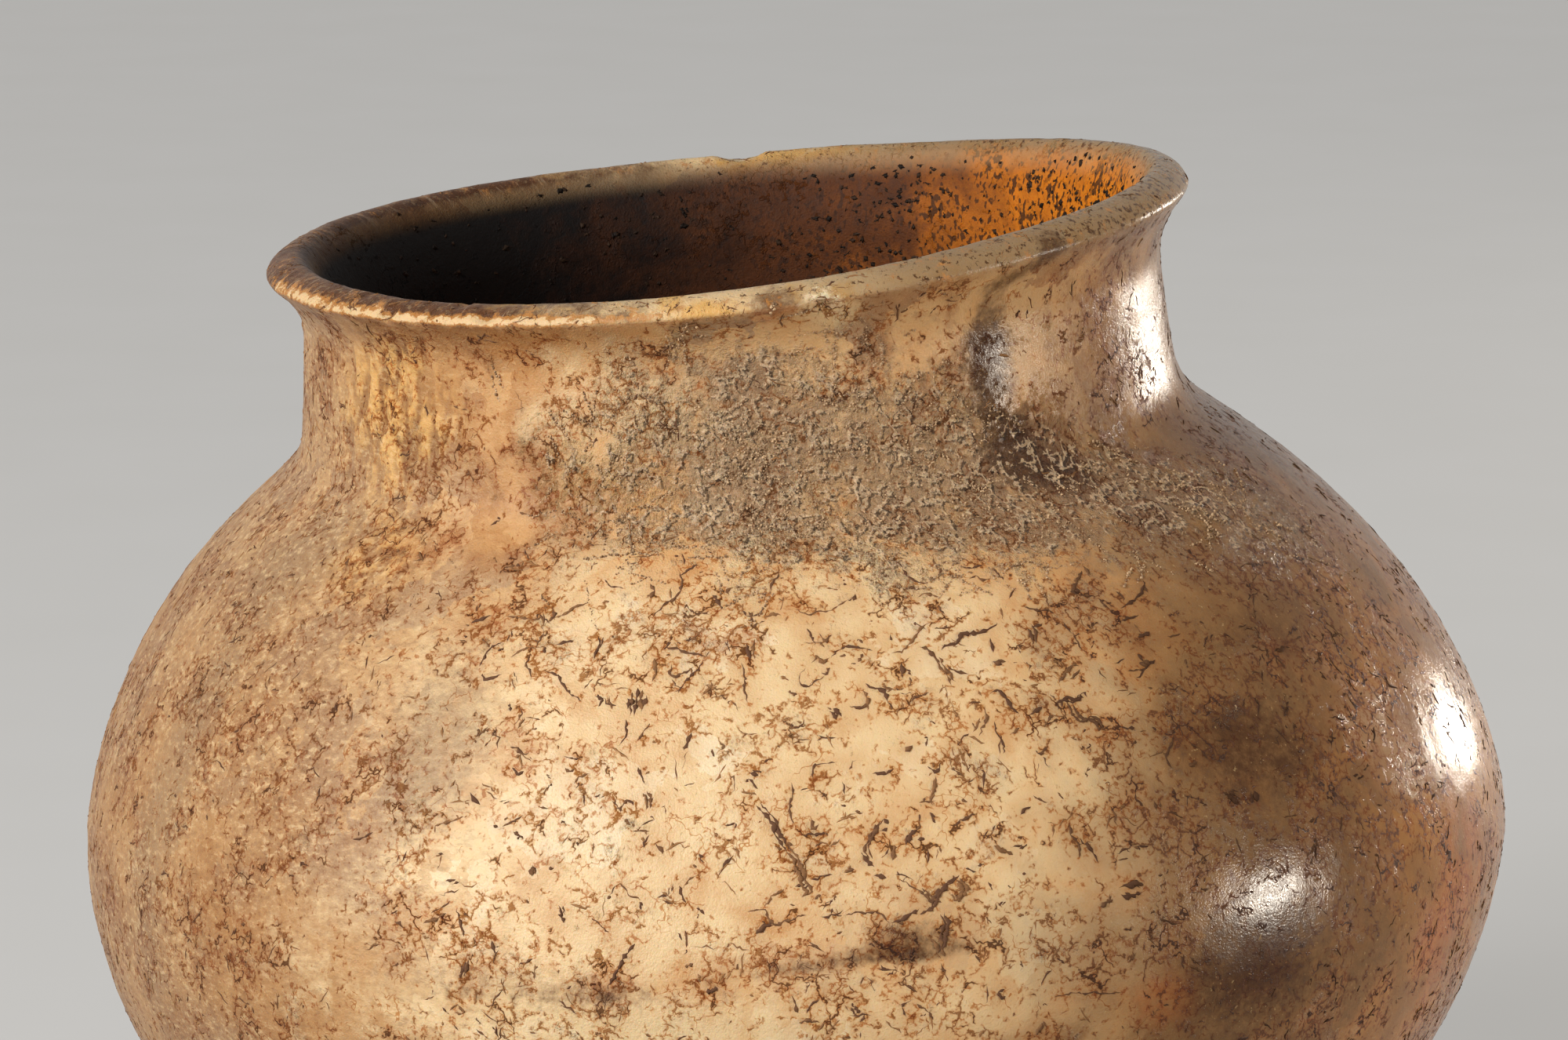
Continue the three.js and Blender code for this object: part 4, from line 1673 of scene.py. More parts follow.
def stroke_shaper() -> Shaper:
    """Tree that strews short crooked ridges over a surface, each one following it.

    Returns:
        The tree.
    """
    lengths = ("Density", "Shortest", "Longest", "Width", "Height", "Crook", "Crook Rate", "Lean",
               "Spread", "Clump Rate", "Clump Low", "Clump High", "Shortness")
    shaper = Shaper("stone_strokes", {
        **dict.fromkeys(lengths, Socket.LENGTH),
        "Steps": Socket.COUNT,
        "Sides": Socket.COUNT,
        "Kinds": Socket.COUNT,
        "Seed": Socket.COUNT,
        "Crumbled": Socket.CHOICE,
        "Finish": Socket.FINISH,
    })
    bench, given = shaper.bench, shaper.given
    surface = given("Geometry")
    place = bench.geo("InputPosition")
    clump = bench.noise(place, given("Clump Rate"), 2.0)
    clump = bench.out("ShaderNodeMapRange", {
        "Value": clump, "From Min": given("Clump Low"), "From Max": given("Clump High"),
        "To Min": SPARSE_SHARE, "To Max": 1.0,
    }, interpolation_type="SMOOTHSTEP")
    density = clump * given("Density") * shaper.named("strew")
    strewn = bench.node("GeometryNodeDistributePointsOnFaces",
                        {"Mesh": surface, "Density": density, "Seed": given("Seed")},
                        distribute_method="RANDOM")
    points = Signal(shaper.tree, strewn.outputs["Points"])
    normal = Signal(shaper.tree, strewn.outputs["Normal"])
    standing = bench.out("FunctionNodeAlignRotationToVector", {"Vector": normal}, axis="Z")
    upward = bench.out("FunctionNodeAlignRotationToVector",
                       {"Rotation": standing, "Vector": UPWARDS}, axis="X", pivot_axis="Z")
    angle = shaper.chance(Draw.ANGLE, -1.0, 1.0) * given("Spread") + given("Lean")
    turned = bench.out("FunctionNodeAxisAngleToRotation", {"Axis": UPWARDS, "Angle": angle})
    rotation = bench.out("FunctionNodeRotateRotation", {"Rotation": upward, "Rotate By": turned},
                         rotation_space="LOCAL")
    draw = shaper.chance(Draw.LENGTH, 0.0, 1.0).math("POWER", given("Shortness"))
    length = draw * (given("Longest") - given("Shortest")) + given("Shortest")
    points = shaper.keep(points, "bulk", shaper.chance(Draw.BULK, *STROKE_BULKS))
    points = shaper.keep(points, "tone", shaper.chance(Draw.TONE, 0.0, 1.0))
    points = shaper.keep(points, "reach", length)
    motifs = [motif(bench, given("Steps"), ways) for ways in MOTIFS]
    motifs = bench.geo("JoinGeometry", {"Geometry": motifs})
    pick = shaper.chance(Draw.KIND, 0, given("Kinds"), "INT")
    strokes = bench.geo("InstanceOnPoints", {
        "Points": points, "Instance": motifs, "Pick Instance": True, "Instance Index": pick,
        "Rotation": rotation, "Scale": length,
    })
    strokes = bench.geo("RealizeInstances", {"Geometry": strokes})
    strokes = lay_lines(shaper, strokes, surface)
    shaper.close(bench.geo("Switch", {
        "Switch": given("Crumbled"),
        "False": raise_ridges(shaper, strokes, surface),
        "True": crumble(shaper, strokes),
    }, input_type="GEOMETRY"))
    return shaper


def new_finish(name: str) -> tuple[bpy.types.Material, Bench, bpy.types.Node, Signal]:
    """Makes a material with its shader, and the place on the object in millimetres.

    Args:
        name: The material's name.

    Returns:
        The material, its bench, its shader and the place.
    """
    material = bpy.data.materials.new(name)
    material.use_nodes = True
    bench = Bench(material.node_tree)
    coordinates = bench.out("ShaderNodeTexCoord", key="Object")
    return material, bench, bench.first("BSDF_PRINCIPLED"), bench.vector("SCALE", coordinates, 1 / MM)


@dataclass(frozen=True)
class Layer:
    """One colour laid over others: its mask, where the mask begins to show and is full, and its strength."""

    mask: Signal
    starts: float
    full: float
    tint: Signal | Colour
    strength: Signal | float = 1.0


@dataclass(frozen=True)
class Ground:
    """What all layers of the onyx are painted with: the place in millimetres, and clouds of three sizes."""

    bench: Bench
    place: Signal
    clouds: Signal
    fine: Signal
    clump: Signal

    def along(self, axis: str) -> Signal:
        """Place along one axis, in millimetres."""
        return self.bench.out("ShaderNodeSeparateXYZ", {"Vector": self.place}, axis)

    def broken(self, mask: Signal | str, cloudy: float = 0.0, grainy: float = 0.0) -> Signal:
        """Makes the edge of a mask uneven.

        Args:
            mask: The mask, or the name of a value that the surface carries.
            cloudy: Strength of the clouds of about a centimetre.
            grainy: Strength of those of about a millimetre.

        Returns:
            The uneven mask.
        """
        uneven = self.bench.attribute(mask) if isinstance(mask, str) else mask
        for cloud, strength in ((self.clouds, cloudy), (self.fine, grainy)):
            if strength:
                uneven = uneven + (cloud - 0.5) * strength
        return uneven

    def paint(self, colour: Signal | Colour, *layers: Layer) -> Signal:
        """Lays colours over one another.

        Args:
            colour: The lowest colour.
            layers: The others, in the order in which they are laid.

        Returns:
            The colour.
        """
        for layer in layers:
            mask = layer.mask.smooth(layer.starts, layer.full) * layer.strength
            colour = self.bench.blend(mask, colour, layer.tint)
        return colour

    def web(self, size: float, thickness: float, gaps: Signal, shift: float,
            aside: Triple = (0.0, 0.0, 0.0)) -> tuple[Signal, Signal]:
        """Broken net of thin crooked lines and the soft stain beside them.

        Args:
            size: Width of the net's meshes in millimetres.
            thickness: Half width of a line, as a share of a mesh.
            gaps: 0 where the net is left out, 1 where it is whole.
            shift: Distance by which this net's pattern is moved from the others'.
            aside: Distance by which the whole net is moved.

        Returns:
            1 on the lines and 0 beside them, then the same for the stain.
        """
        bench = self.bench
        moved = bench.vector("ADD", bench.vector("ADD", self.place, aside), (shift, -shift, 2 * shift))
        bend = bench.noise_vector(moved, 1.4 / size, 3.0, 0.7)
        bent = bench.vector("ADD", moved, bench.vector("SCALE", bend, size))
        edge = bench.out("ShaderNodeTexVoronoi", {"Vector": bent, "Scale": 1 / size}, "Distance",
                         feature="DISTANCE_TO_EDGE")
        whole = bench.noise(moved, 1.2 / size, 2.0, 0.6) + (gaps - 0.7) * 0.14
        width = whole.smooth(0.5, 0.62, 0.0, thickness)
        stain_width = whole.smooth(0.46, 0.58, 0.0, 2.5 * thickness)
        return (width - edge).smooth(0.0, 0.6 * thickness), (stain_width - edge).smooth(0.0, 2.2 * thickness)


@dataclass(frozen=True)
class OnyxFinish:
    """Banded onyx that has lain in the ground: cream, tan and brown, with fine root marks."""

    tan: Colour = shade(214, 172, 122)
    deep_tan: Colour = shade(170, 120, 74)
    grey_tan: Colour = shade(184, 156, 124)
    orange: Colour = shade(200, 140, 76)
    dusk: Colour = shade(148, 110, 72)
    # olive tones of the right side, laid darker than the stone's own colour there, partly as painted shade
    olive: Colour = shade(118, 82, 44)
    deep_olive_and_shade: Colour = shade(74, 48, 24)
    # rim: orange laid in patches on the far right, partly a painted rim light from the lamp behind; also an
    # orange band under the lip's ridge
    rim: Colour = shade(190, 130, 66)
    cream: Colour = shade(228, 197, 150)
    milk: Colour = shade(236, 214, 176)
    rust: Colour = shade(176, 98, 42)
    umber: Colour = shade(72, 40, 12)
    ash: Colour = shade(148, 118, 86)
    honey: Colour = shade(214, 166, 98)
    deep_honey: Colour = shade(142, 96, 50)
    ground: Colour = shade(162, 132, 102)
    # painted shadow beside the crust's ridges on the neck
    painted_crust_shadow: Colour = shade(54, 36, 22)
    halo: Colour = shade(208, 154, 86)
    vein: Colour = shade(206, 156, 92)
    thread: Colour = shade(180, 150, 104)
    root: Colour = shade(120, 102, 84)
    warm_thread: Colour = shade(88, 54, 30)
    warm_root: Colour = shade(60, 34, 18)
    streak: Colour = shade(136, 96, 64)
    # lime: the crust's ridges, lighter than the crust itself, partly a painted highlight on their lit side
    lime: Colour = shade(224, 192, 154)
    amber: Colour = shade(104, 54, 16)
    # the inside: painted shade, nearly black, and a painted glow of light shining through the wall
    painted_shade_amber: Colour = shade(9, 3, 1)
    painted_glow: Colour = shade(216, 122, 16)
    soot: Colour = shade(28, 16, 10)
    lip_brown: Colour = shade(92, 56, 30)
    lip_cream: Colour = shade(218, 186, 140)
    lip_grey: Colour = shade(132, 104, 72)
    lip_radius: float = 58.0
    crystal_size: float = 10.0
    crystal_bend: float = 12.0
    crystal_share: float = 0.3
    streak_lean: float = math.radians(38)
    streak_squash: Triple = (0.35, 0.6, 1.0)
    speck_squash: Triple = (1.0, 1.0, 0.7)
    # how far the painted shadow of the crust's ridges is moved from the ridges, in millimetres
    crust_shadow_shift: Triple = (-0.4, 0.0, 0.26)
    crust_nets: tuple[Span, ...] = ((3.4, 0.085), (1.9, 0.1))
    crust_shift: float = 83.0
    least_roughness: float = 0.14
    bump_depth: float = 0.5
    glow_depth: float = 3.0
    glow_reach: Triple = (1.0, 0.5, 0.2)

    def stone(self, ground: Ground) -> Signal:
        """Colour of the outside: the stone, its stains and the mottling, the right side olive and darker,
        partly as painted shade, and orange patches on the far right, partly a painted rim light.

        Args:
            ground: What it is painted with.

        Returns:
            The colour.
        """
        bench, place, clouds, broken = ground.bench, ground.place, ground.clouds, ground.broken
        broad = bench.noise(place, 0.028, 3.0, 0.55)
        warp = bench.vector("SCALE", bench.noise_vector(place, 0.2, 3.0), self.crystal_bend)
        crystals = bench.out("ShaderNodeTexVoronoi", {
            "Vector": bench.vector("ADD", place, warp), "Scale": 1 / self.crystal_size,
        }, "Color", feature="F1")
        block = (bench.out("ShaderNodeSeparateColor", {"Color": crystals}) - 0.5) * self.crystal_share
        mottle = bench.attribute("mottle")
        colour = ground.paint(
            self.tan,
            Layer(clouds + block, 0.38, 0.62, self.deep_tan),
            Layer(broad + block, 0.5, 0.68, self.grey_tan, 0.6),
            Layer(broken(broad, 0.8), 0.48, 0.32, self.orange, 0.42),
        )
        colour = bench.blend(mottle * 0.62, colour, self.dusk)

        cream = broken("cream", 1.5, 0.2) + block - (ground.clump - 0.5) * 0.5
        olive = broken("olive", 0.45) + (broad - 0.5) * 0.6
        # Orange and grey patches on the far right, partly a painted rim light from the lamp behind
        far = broken(ground.along("X"), 60) + (broad - 0.5) * 90
        patches = bench.blend((clouds + block).smooth(0.42, 0.6), self.rim, self.deep_tan)
        nodules = bench.noise(bench.vector("MULTIPLY", place, NODULE_SQUASH), 1 / NODULE_SIZE, 2.0, 0.6)
        combed = bench.blend(nodules.smooth(0.4, 0.6), self.deep_honey, self.honey)
        leaning = bench.out("ShaderNodeMapping", {
            "Vector": place, "Rotation": (0.0, self.streak_lean, 0.0), "Scale": self.streak_squash,
        })
        streaks = bench.noise(leaning, 1.3, 4.0, 0.7)
        streaky = mottle * (broad.smooth(0.3, 0.6, 0.25, 0.7) + clouds * 0.3)
        return ground.paint(
            colour,
            Layer(cream, 0.25, 0.85, self.cream),
            Layer(cream + block, 0.8, 1.3, self.milk, 0.8),
            # The right side is laid olive and darker, partly as painted shade
            Layer(olive, 0.3, 0.85, self.olive, 0.88),
            Layer(broken(olive, 0.0, 0.7), 0.7, 1.25, self.deep_olive_and_shade, 0.75),
            Layer(far, 56.0, 96.0, patches, 0.8),
            Layer(broken(broad, 0.7), 0.54, 0.72, self.grey_tan, far.smooth(56.0, 96.0) * 0.5),
            Layer(broken(ground.clump, 0.0, 0.3), 0.5, 0.66, self.deep_tan, 0.15),
            Layer(broken("rust", 1.0, 0.5), 0.3, 0.95, self.rust, 0.75),
            Layer(broken("ash", 0.4, 1.0), 0.25, 0.85, self.ash, 0.7),
            Layer(broken("crust", 1.9, 1.2), 0.0, 1.1, self.ground, 0.62),
            Layer(broken("umber", 0.9, 0.6), 0.3, 0.85, self.umber, 0.92),
            Layer(broken("honey", 0.5, 0.3), 0.25, 0.75, combed, 0.85),
            Layer(streaks, 0.52, 0.64, self.streak, streaky * 0.8),
            Layer(streaks, 0.48, 0.36, self.cream, streaky * 0.6),
            Layer(bench.noise(place, 1.7, 2.0, 0.6), 0.66, 0.74, self.thread, 0.6),
        )

    def lip(self, ground: Ground) -> Signal:
        """Colour of the lip: mottled brown on the left, clear and creamy with brown specks on the right, with
        a cream line along the outer ridge, partly a painted highlight.

        Args:
            ground: What it is painted with.

        Returns:
            The colour.
        """
        bench, place, broken = ground.bench, ground.place, ground.broken
        to_right, to_back = ground.along("X"), ground.along("Y")
        turn = to_back.math("ARCTAN2", to_right) * self.lip_radius
        around = bench.out("ShaderNodeCombineXYZ", {"X": turn})
        combed = bench.vector("ADD", around, bench.vector("SCALE", place, 0.25))
        spots = bench.noise(place, 1.1, 3.0, 0.7)
        streaks = bench.noise(combed, 0.8, 4.0, 0.75)
        patches = bench.noise(place, 0.45, 4.0, 0.7)
        brown = ground.paint(
            self.lip_brown,
            Layer(patches, 0.5, 0.68, self.deep_tan, 0.75),
            Layer(streaks, 0.55, 0.64, self.grey_tan, 0.5),
            Layer(streaks, 0.48, 0.4, self.umber, 0.75),
            Layer(spots, 0.55, 0.64, self.lip_grey, 0.8),
        )
        cream = ground.paint(
            self.lip_cream,
            Layer(ground.clouds, 0.45, 0.6, self.honey),
            Layer(to_right, -14.0, 20.0, self.lip_grey, 0.85),
            Layer(broken(patches, 0.0, 0.5), 0.54, 0.7, self.deep_tan, 0.6),
            Layer(spots + to_right.smooth(0.0, 50.0) * 0.05, 0.58, 0.66, self.umber, 0.9),
        )
        # The lip's outer ridge: an orange band, then a cream line, partly a painted highlight where light
        # catches the ridge
        nose = bench.attribute("nose") + (patches - 0.5) * 2.0
        return ground.paint(
            brown,
            Layer(broken(to_right, 60, 20), -42.0, -16.0, cream),
            Layer(broken("rust", 0.0, 1.0), 0.3, 0.9, self.lip_brown, 0.8),
            Layer(broken("umber", 0.0, 1.0), 0.3, 0.7, self.umber, 0.8),
            Layer(broken("cream", 0.0, 0.6), 0.6, 0.8, self.milk),
            Layer(broken(nose, 0.0, 1.0), 0.2, 0.5, self.rim, 0.7),
            Layer(broken(nose, 0.0, 2.0), 0.62, 0.85, self.lip_cream, 0.85),
        )

    def hollow(self, ground: Ground) -> Signal:
        """Colour of the inside: painted shade, nearly black, on the left, amber further right, and a painted
        glow of light through the wall on the right, with soot specks.

        Args:
            ground: What it is painted with.

        Returns:
            The colour.
        """
        bench, broken = ground.bench, ground.broken
        to_right = ground.along("X")
        lit = broken(to_right, 80, 40)
        specks = bench.noise(bench.vector("MULTIPLY", ground.place, self.speck_squash), 1.25, 1.5)
        return ground.paint(
            self.painted_shade_amber,
            Layer(lit, -44.0, 40.0, self.amber),
            Layer(broken(to_right, 70, 20), 4.0, 54.0, self.painted_glow, 0.9),
            Layer(broken(ground.fine, 0.4), 0.54, 0.66, self.soot, 0.5),
            Layer(broken(specks, 0.6), 0.56, 0.63, self.soot, lit.smooth(-44.0, 40.0) * 0.85),
        )

    def build(self) -> bpy.types.Material:
        """Makes the material.

        Returns:
            The material.
        """
        material, bench, shader, place = new_finish("onyx")
        clouds = bench.noise(place, 0.11, 5.0, 0.6, 0.5)
        fine = bench.noise(place, 0.8, 4.0, 0.68)
        clump = bench.noise(place, 1 / CLUMP_SIZE, 2.0)
        ground = Ground(bench, place, clouds, fine, clump)
        outside, olive = bench.attribute("marks"), bench.attribute("olive")
        crust, inner = bench.attribute("crust"), bench.attribute("inner")

        gaps = clump.smooth(0.36, 0.64) + olive * 0.2
        veins, _ = ground.web(6.5, 0.016, gaps * 0.5 + 0.6, 11.0)
        crumbs, crumb_stain = ground.web(1.6, 0.08, gaps, 57.0)
        threads, thread_stain = ground.web(2.6, 0.06, gaps, 0.0)
        roots, root_stain = ground.web(4.4, 0.036, gaps - 0.15, 31.0)
        stained = thread_stain.math("MAXIMUM", root_stain).math("MAXIMUM", crumb_stain * 0.6)
        stained = (stained * 0.6 + bench.attribute("halo") * 0.3).math("MINIMUM", 1.0)
        colour = self.stone(ground)
        for mask, tint in ((stained, self.halo), (veins * 0.8, self.vein), (crumbs * 0.7, self.vein),
                           (threads * 0.68, self.thread), (roots * 0.85, self.root)):
            colour = bench.blend(mask * outside, colour, tint, "MULTIPLY")
        # Threads and roots darker and warmer on the right, where the olive tone and painted shade are
        shady = olive * outside
        colour = bench.blend(threads * shady * 0.8, colour, self.warm_thread)
        colour = bench.blend(roots * shady * 0.95, colour, self.warm_root)

        crusted = ground.broken("crust", 1.3, 1.2).smooth(0.15, 0.6)
        # Each net of the crust is laid twice: a moved copy in dark brown as a painted shadow, then the ridges
        # in light lime, partly a painted highlight
        for size, thickness in self.crust_nets:
            lit, _ = ground.web(size, thickness, crusted, self.crust_shift)
            shaded, _ = ground.web(size, thickness, crusted, self.crust_shift, self.crust_shadow_shift)
            colour = bench.blend(shaded * crusted * 0.75, colour, self.painted_crust_shadow)
            colour = bench.blend(lit * crusted * 0.65, colour, self.lime)
        inside = inner.smooth(0.08, 0.55)
        colour = bench.blend(bench.attribute("lip"), colour, self.lip(ground))
        colour = bench.blend(inside, colour, self.hollow(ground))

        grit = bench.noise(place, 3.2, 2.0, 0.6)
        lumps = bench.noise(place, 0.9, 4.0, 0.75).smooth(0.4, 0.66) * crusted
        glossy = olive.math("MAXIMUM", bench.attribute("umber"))
        calm = glossy * -0.78 + 1.0
        sunk = (olive * -0.36 + 0.4) * (roots + threads * 0.6)
        height = (fine * 0.35 + grit * 0.2) * calm + sunk + lumps * 1.2
        bump = bench.out("ShaderNodeBump", {
            "Height": height, "Strength": 0.8, "Distance": self.bump_depth * MM,
        })
        rough = fine * (glossy * 0.12 + 0.3) + 0.26 - glossy * 0.26 + inside * 0.3 + (roots + threads) * 0.5
        rough = rough + crust * 0.15
        bench.join(shader, {
            "Base Color": colour,
            "Roughness": rough.math("MAXIMUM", self.least_roughness),
            "Normal": bump,
            "Subsurface Weight": 0.3,
            "Subsurface Radius": self.glow_reach,
            "Subsurface Scale": self.glow_depth * MM,
            "IOR": 1.5,
            "Specular IOR Level": 0.22,
        })
        return material


@dataclass(frozen=True)
class MarkFinish:
    """A dull mineral crust, in two tones, which may be darker on the jar's right."""

    name: str
    dark: Colour
    light: Colour
    roughness: float = 0.85
    darkened: float = 0.0
    darkest: Colour = shade(56, 35, 22)
    dark_from: float = 10.0
    dark_to: float = 65.0
    bump_depth: float = 0.2

    def build(self) -> bpy.types.Material:
        """Makes the material.

        Returns:
            The material.
        """
        material, bench, shader, place = new_finish(self.name)
        grain = bench.noise(place, 1.6, 3.0, 0.65)
        tone = bench.attribute("tone") * 0.6 + grain * 0.6
        colour = bench.blend(tone.smooth(0.35, 0.95), self.dark, self.light)
        to_right = bench.out("ShaderNodeSeparateXYZ", {"Vector": place}, "X")
        darkened = to_right.smooth(self.dark_from, self.dark_to) * self.darkened
        colour = bench.blend(darkened, colour, self.darkest)
        bump = bench.out("ShaderNodeBump", {
            "Height": grain, "Strength": 0.6, "Distance": self.bump_depth * MM,
        })
        bench.join(shader, {
            "Base Color": colour, "Roughness": self.roughness, "Normal": bump, "Specular IOR Level": 0.12,
        })
        return material


@dataclass(frozen=True)
class MasticFinish:
    """Dark brown mastic: resin with stone dust, dull and grainy."""

    dark: Colour = shade(58, 42, 30)
    light: Colour = shade(104, 82, 58)
    dust: Colour = shade(150, 128, 98)
    bump_depth: float = 0.4

    def build(self) -> bpy.types.Material:
        """Makes the material.

        Returns:
            The material.
        """
        material, bench, shader, place = new_finish("mastic")
        lumps = bench.noise(place, 0.7, 3.0, 0.6)
        grain = bench.noise(place, 4.0, 3.0, 0.7)
        colour = bench.blend(lumps.smooth(0.35, 0.7), self.dark, self.light)
        colour = bench.blend(grain.smooth(0.55, 0.75) * 0.6, colour, self.dust)
        bump = bench.out("ShaderNodeBump", {
            "Height": grain + lumps, "Strength": 0.8, "Distance": self.bump_depth * MM,
        })
        bench.join(shader, {"Base Color": colour, "Roughness": 0.82, "Normal": bump})
        return material


@dataclass
class Strokes:
    """One kind of mark that is strewn over the jar, with lengths in millimetres and angles in degrees."""

    name: str
    finish: MarkFinish
    per_square: float
    shortest: float
    longest: float
    width: float
    height: float
    seed: int
    crook: float = 0.7
    crook_size: float = 1.2
    lean: float = 0.0
    spread: float = 90.0
    clump_size: float = CLUMP_SIZE
    clump_low: float = 0.38
    clump_high: float = 0.64
    shortness: float = 1.6
    crumbled: bool = False
    steps: int = 8
    sides: int = 5
    kinds: int = len(MOTIFS)

    def build(self, shaper: Shaper, jar: bpy.types.Object, strew: np.ndarray) -> bpy.types.Object:
        """Strews the marks over the jar.

        Args:
            shaper: The tree that makes strokes.
            jar: The finished jar.
            strew: Density share at each point of the jar.

        Returns:
            The marks as one piece.
        """
        store(jar.data, "strew", strew)
        lengths = {"Shortest": self.shortest, "Longest": self.longest, "Width": self.width}
        rates = {"Crook Rate": self.crook_size, "Clump Rate": self.clump_size}
        return shaper.run(self.name, jar, {
            **{label: length * MM for label, length in lengths.items()},
            **{label: 1 / (size * MM) for label, size in rates.items()},
            "Density": self.per_square / MM**2,
            "Lean": math.radians(self.lean),
            "Spread": math.radians(self.spread),
            "Height": self.height,
            "Crook": self.crook,
            "Clump Low": self.clump_low,
            "Clump High": self.clump_high,
            "Shortness": self.shortness,
            "Crumbled": self.crumbled,
            "Steps": self.steps,
            "Sides": self.sides,
            "Kinds": self.kinds - 1,
            "Seed": self.seed,
            "Finish": self.finish.build(),
        })


@dataclass
class Marks:
    """All that lies on the jar as pieces of its own: root marks, the crust of the neck and soot specks."""

    bowl: bpy.types.Object
    lines: bpy.types.Object
    earth: MarkFinish = MarkFinish("root_mark", shade(96, 66, 48), shade(158, 114, 72), darkened=0.85)
    lime: MarkFinish = MarkFinish("lime_crust", shade(128, 100, 74), shade(204, 172, 134))
    soot: MarkFinish = MarkFinish("soot_speck", shade(24, 17, 12), shade(52, 36, 24), 0.6)
    large_width: float = 0.72
    large_height: float = 0.7
    large_crook: float = 1.3
    large_crook_size: float = 1.1
    large_sides: int = 6
    clear_of_crust: float = 0.8
    clear_of_umber: float = 0.9
    dark_side_share: float = 0.3
    dark_side_band: Span = (30, -10)

    def mask(self, name: str) -> np.ndarray:
        """Reads a value that the jar carries.

        Args:
            name: The attribute's name.

        Returns:
            The value at each point.
        """
        mesh = self.bowl.data
        values = np.zeros(len(mesh.vertices), np.float32)
        mesh.attributes[name].data.foreach_get("value", values)
        return values

    def build(self) -> None:
        """Makes each kind of mark and hangs it on the frame."""
        dress(trace_shaper().run("root_marks_large", self.bowl, {
            "Lines": self.lines,
            "Width": self.large_width * MM,
            "Height": self.large_height,
            "Crook": self.large_crook,
            "Crook Rate": 1 / (self.large_crook_size * MM),
            "Sides": self.large_sides,
            "Finish": self.earth.build(),
        }), STONE_SLOT)
        points = np.array([vertex.co for vertex in self.bowl.data.vertices]) / MM
        crust = self.mask("crust")
        plain = self.mask("marks") * (1 - self.clear_of_crust * crust)
        clean = crust * (1 - self.clear_of_umber * self.mask("umber"))
        bright = self.dark_side_share + (1 - self.dark_side_share) * part(points[:, 0], *self.dark_side_band)
        shaper = stroke_shaper()
        front, left = points[:, 1] < 0, points[:, 0] < 0
        for label, quarter in {
            "front_left": front & left, "front_right": front & ~left,
            "back_left": ~front & left, "back_right": ~front & ~left,
        }.items():
            strokes = Strokes("root_marks_" + label, self.earth, per_square=0.13, shortest=0.5, longest=3.2,
                              width=0.22, height=0.6, seed=5, steps=6, sides=4)
            dress(strokes.build(shaper, self.bowl, plain * quarter), STONE_SLOT)
        strokes = Strokes("lime_crust", self.lime, per_square=0.3, shortest=1.0, longest=9.0, width=0.3,
                          height=0.9, seed=17, crook=0.22, crook_size=1.6, clump_size=8.0, clump_low=0.4,
                          clump_high=0.6, shortness=1.3, steps=14, crumbled=True)
        dress(strokes.build(shaper, self.bowl, clean), STONE_SLOT)
        strokes = Strokes("soot_specks", self.soot, per_square=0.45, shortest=0.4, longest=1.6, width=0.6,
                          height=0.5, seed=29, crook=0.6, spread=50.0, lean=90.0, clump_size=12.0,
                          clump_low=0.42, steps=3, sides=4, kinds=1)
        dress(strokes.build(shaper, self.bowl, self.mask("specks") * bright), STONE_SLOT)


@dataclass(frozen=True)
class Lamp:
    """One soft box: its turn to the right of the camera and its height in degrees, lengths in metres."""

    name: str
    turn: float
    height: float
    distance: float
    wide: float
    high: float
    power: float
    colour: Triple = (1.0, 1.0, 1.0)
    aim_height: float = 0.1

    def build(self) -> None:
        """Makes the lamp and points it at the jar."""
        data = bpy.data.lights.new(self.name, "AREA")
        data.shape = "RECTANGLE"
        data.size = self.wide
        data.size_y = self.high
        data.energy = self.power
        data.color = self.colour
        turn, height = math.radians(self.turn), math.radians(self.height)
        level = math.cos(height)
        away = Vector((math.sin(turn) * level, -math.cos(turn) * level, math.sin(height)))
        aim(self.name, data, away * self.distance + Vector((0.0, 0.0, self.aim_height)), away)


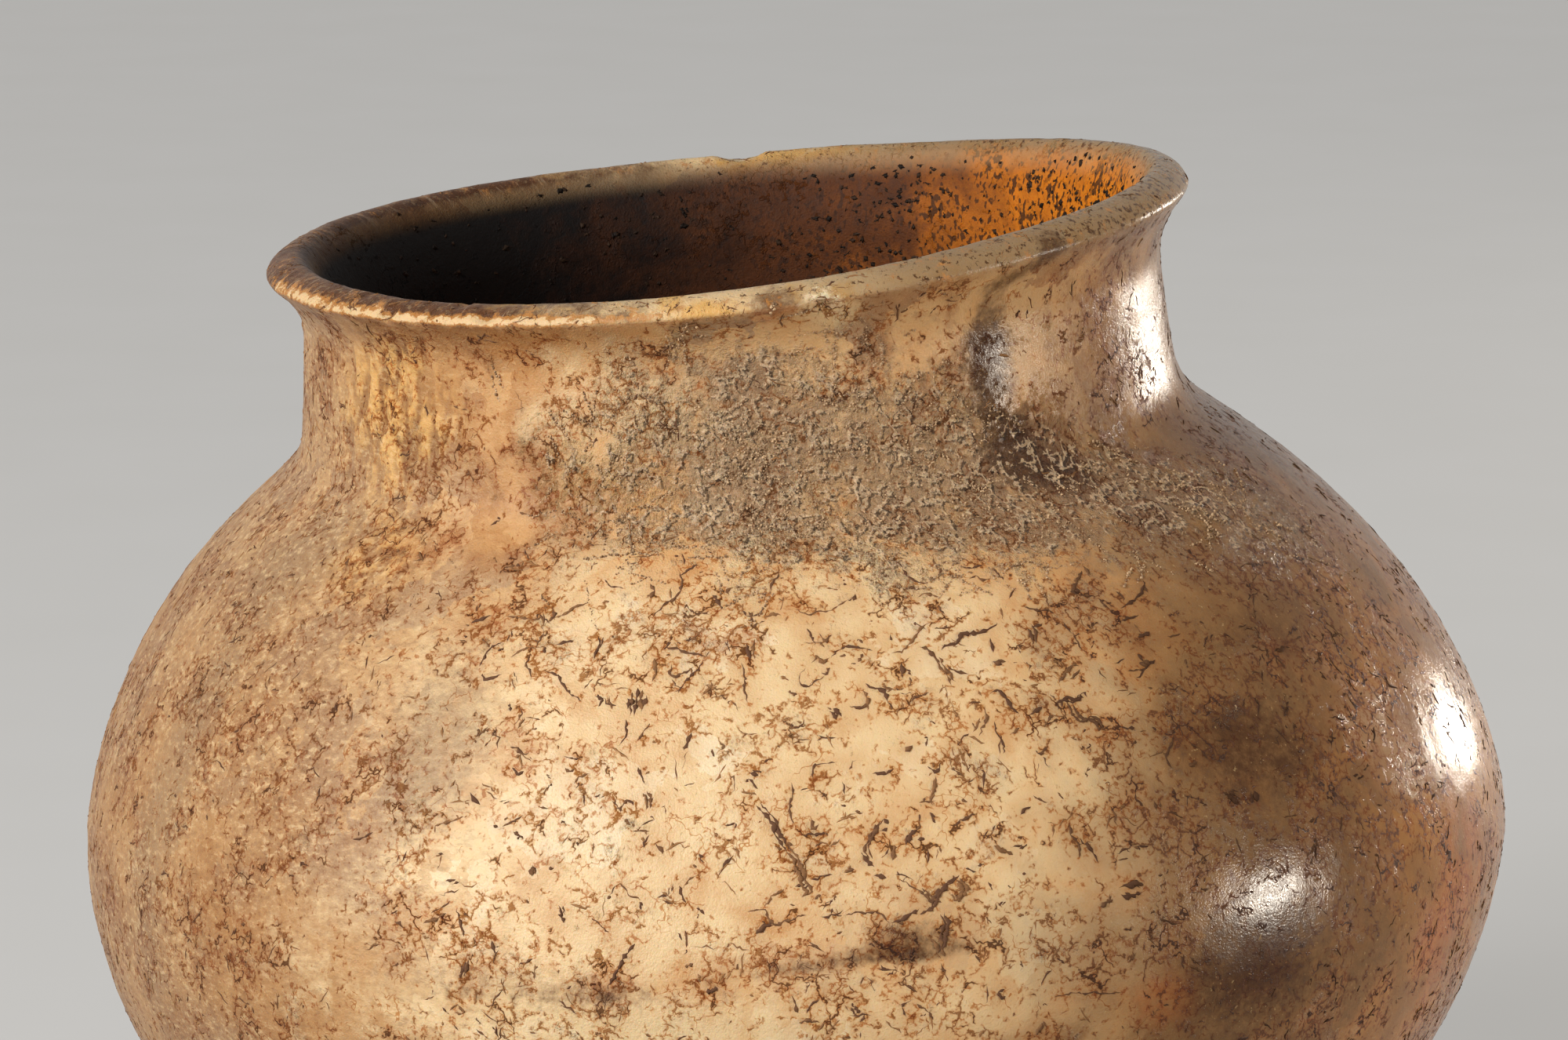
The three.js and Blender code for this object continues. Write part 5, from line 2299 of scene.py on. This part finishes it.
@dataclass
class Studio:
    """Plain pale floor, soft lamps and an even surround."""

    floor_radius: float = 4.0
    floor_sides: int = 96
    floor_colour: Colour = shade(222, 220, 216)
    floor_cloud: Colour = shade(226, 224, 221)
    surround_colour: Colour = (1.0, 0.99, 0.97, 1.0)
    floor_body: float = 0.3
    floor_glow: float = 0.5
    surround: float = 0.07
    backdrop: float = 0.5
    lamps: tuple[Lamp, ...] = (
        Lamp("key", -47.0, 29.0, 1.5, 0.6, 0.6, 28.4),
        Lamp("strip_behind", 135.0, 1.0, 1.2, 0.14, 0.1, 3.8, (1.0, 0.92, 0.8)),
        Lamp("strip_side", 76.0, 5.0, 1.4, 0.05, 0.08, 12.0, (1.0, 0.92, 0.8)),
    )

    @staticmethod
    def seen(bench: Bench) -> Signal:
        """Which rays show the floor or the surround: straight, mirrored or through glass.

        Args:
            bench: The bench of the floor's or the surround's tree.

        Returns:
            1 for those rays, 0 for the others.
        """
        rays = bench.node("ShaderNodeLightPath")
        camera, glossy, clear = (
            Signal(bench.tree, rays.outputs[name])
            for name in ("Is Camera Ray", "Is Glossy Ray", "Is Transmission Ray")
        )
        return camera.math("MAXIMUM", glossy).math("MAXIMUM", clear)

    def build(self) -> None:
        """Makes the floor, the lamps and the surround."""
        mesh = bpy.data.meshes.new("floor")
        disc = bmesh.new()
        bmesh.ops.create_circle(disc, cap_ends=True, segments=self.floor_sides, radius=self.floor_radius)
        disc.to_mesh(mesh)
        disc.free()
        floor = new_object("floor", mesh)
        material, bench, shader, place = new_finish("floor_paint")
        tone = bench.blend(bench.noise(place, 0.02, 2.0), self.floor_colour, self.floor_cloud)
        body = bench.blend(1 - self.floor_body, tone, BLACK)
        bench.join(shader, {
            "Base Color": body, "Roughness": 0.9, "Emission Color": tone,
            "Emission Strength": self.seen(bench) * self.floor_glow,
        })
        mesh.materials.append(material)
        for lamp in self.lamps:
            lamp.build()
        world = bpy.data.worlds.new("surround")
        world.use_nodes = True
        bench = Bench(world.node_tree)
        strength = self.seen(bench) * (self.backdrop - self.surround) + self.surround
        bench.join(bench.first("BACKGROUND"), {"Color": self.surround_colour, "Strength": strength})
        bpy.context.scene.world = world


def dress(piece: bpy.types.Object, slot: str, *nodes: str) -> None:
    """Hangs a finished piece on the frame.

    Args:
        piece: The piece.
        slot: The record's material slot; not used.
        nodes: CAD nodes that it stands for.
    """
    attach(piece, BODY)
    if nodes:
        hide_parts(*nodes)
    LOG.info("%s: %d faces", piece.name, len(piece.data.polygons))


def dress_feet(feet: Feet, shaper: Shaper, onyx: bpy.types.Material) -> None:
    """Makes the feet and their mastic beds and hangs them on the frame.

    Args:
        feet: The feet.
        shaper: The tree that makes stone uneven.
        onyx: The stone's material.
    """
    mastic = MasticFinish().build()
    relief = Relief().inputs()
    for number, label in enumerate(feet.names):
        for node, stuff, raw, finish, slot in (
            (f"foot_{label}", "onyx", feet.foot_piece(number), onyx, STONE_SLOT),
            (f"foot_bed_{label}", "mastic", feet.bed_piece(number), mastic, MASTIC_SLOT),
        ):
            dress(shaper.run(f"{node}_{stuff}", raw, {**relief, "Finish": finish}), slot, node)
            bpy.data.objects.remove(raw)


def main() -> None:
    """Builds the scene."""
    logging.basicConfig(level=logging.INFO, format="%(message)s")
    bpy.context.scene.view_settings.view_transform = "Standard"
    form, foot, photo = JarForm(), FootForm(), Photo()
    photo.build()
    Studio().build()

    jar = Jar(form, photo)
    raw, lines = jar.build(), jar.trace_lines()
    onyx = OnyxFinish().build()
    shaper = relief_shaper()
    bowl = shaper.run("bowl_onyx", raw, {
        **Relief().inputs(),
        "Foot Circle": foot.circle_radius * MM,
        "Socket Radius": foot.socket_radius * MM,
        "Socket Low": foot.socket_low * MM,
        "Socket Top": foot.socket_top * MM,
        "Drilled": True,
        "Finish": onyx,
    })
    dress_feet(Feet(form, foot), shaper, onyx)
    Marks(bowl, lines).build()
    dress(bowl, STONE_SLOT, "bowl")
    bpy.data.objects.remove(raw)
    bpy.data.objects.remove(lines)


if __name__ == "__main__":
    main()
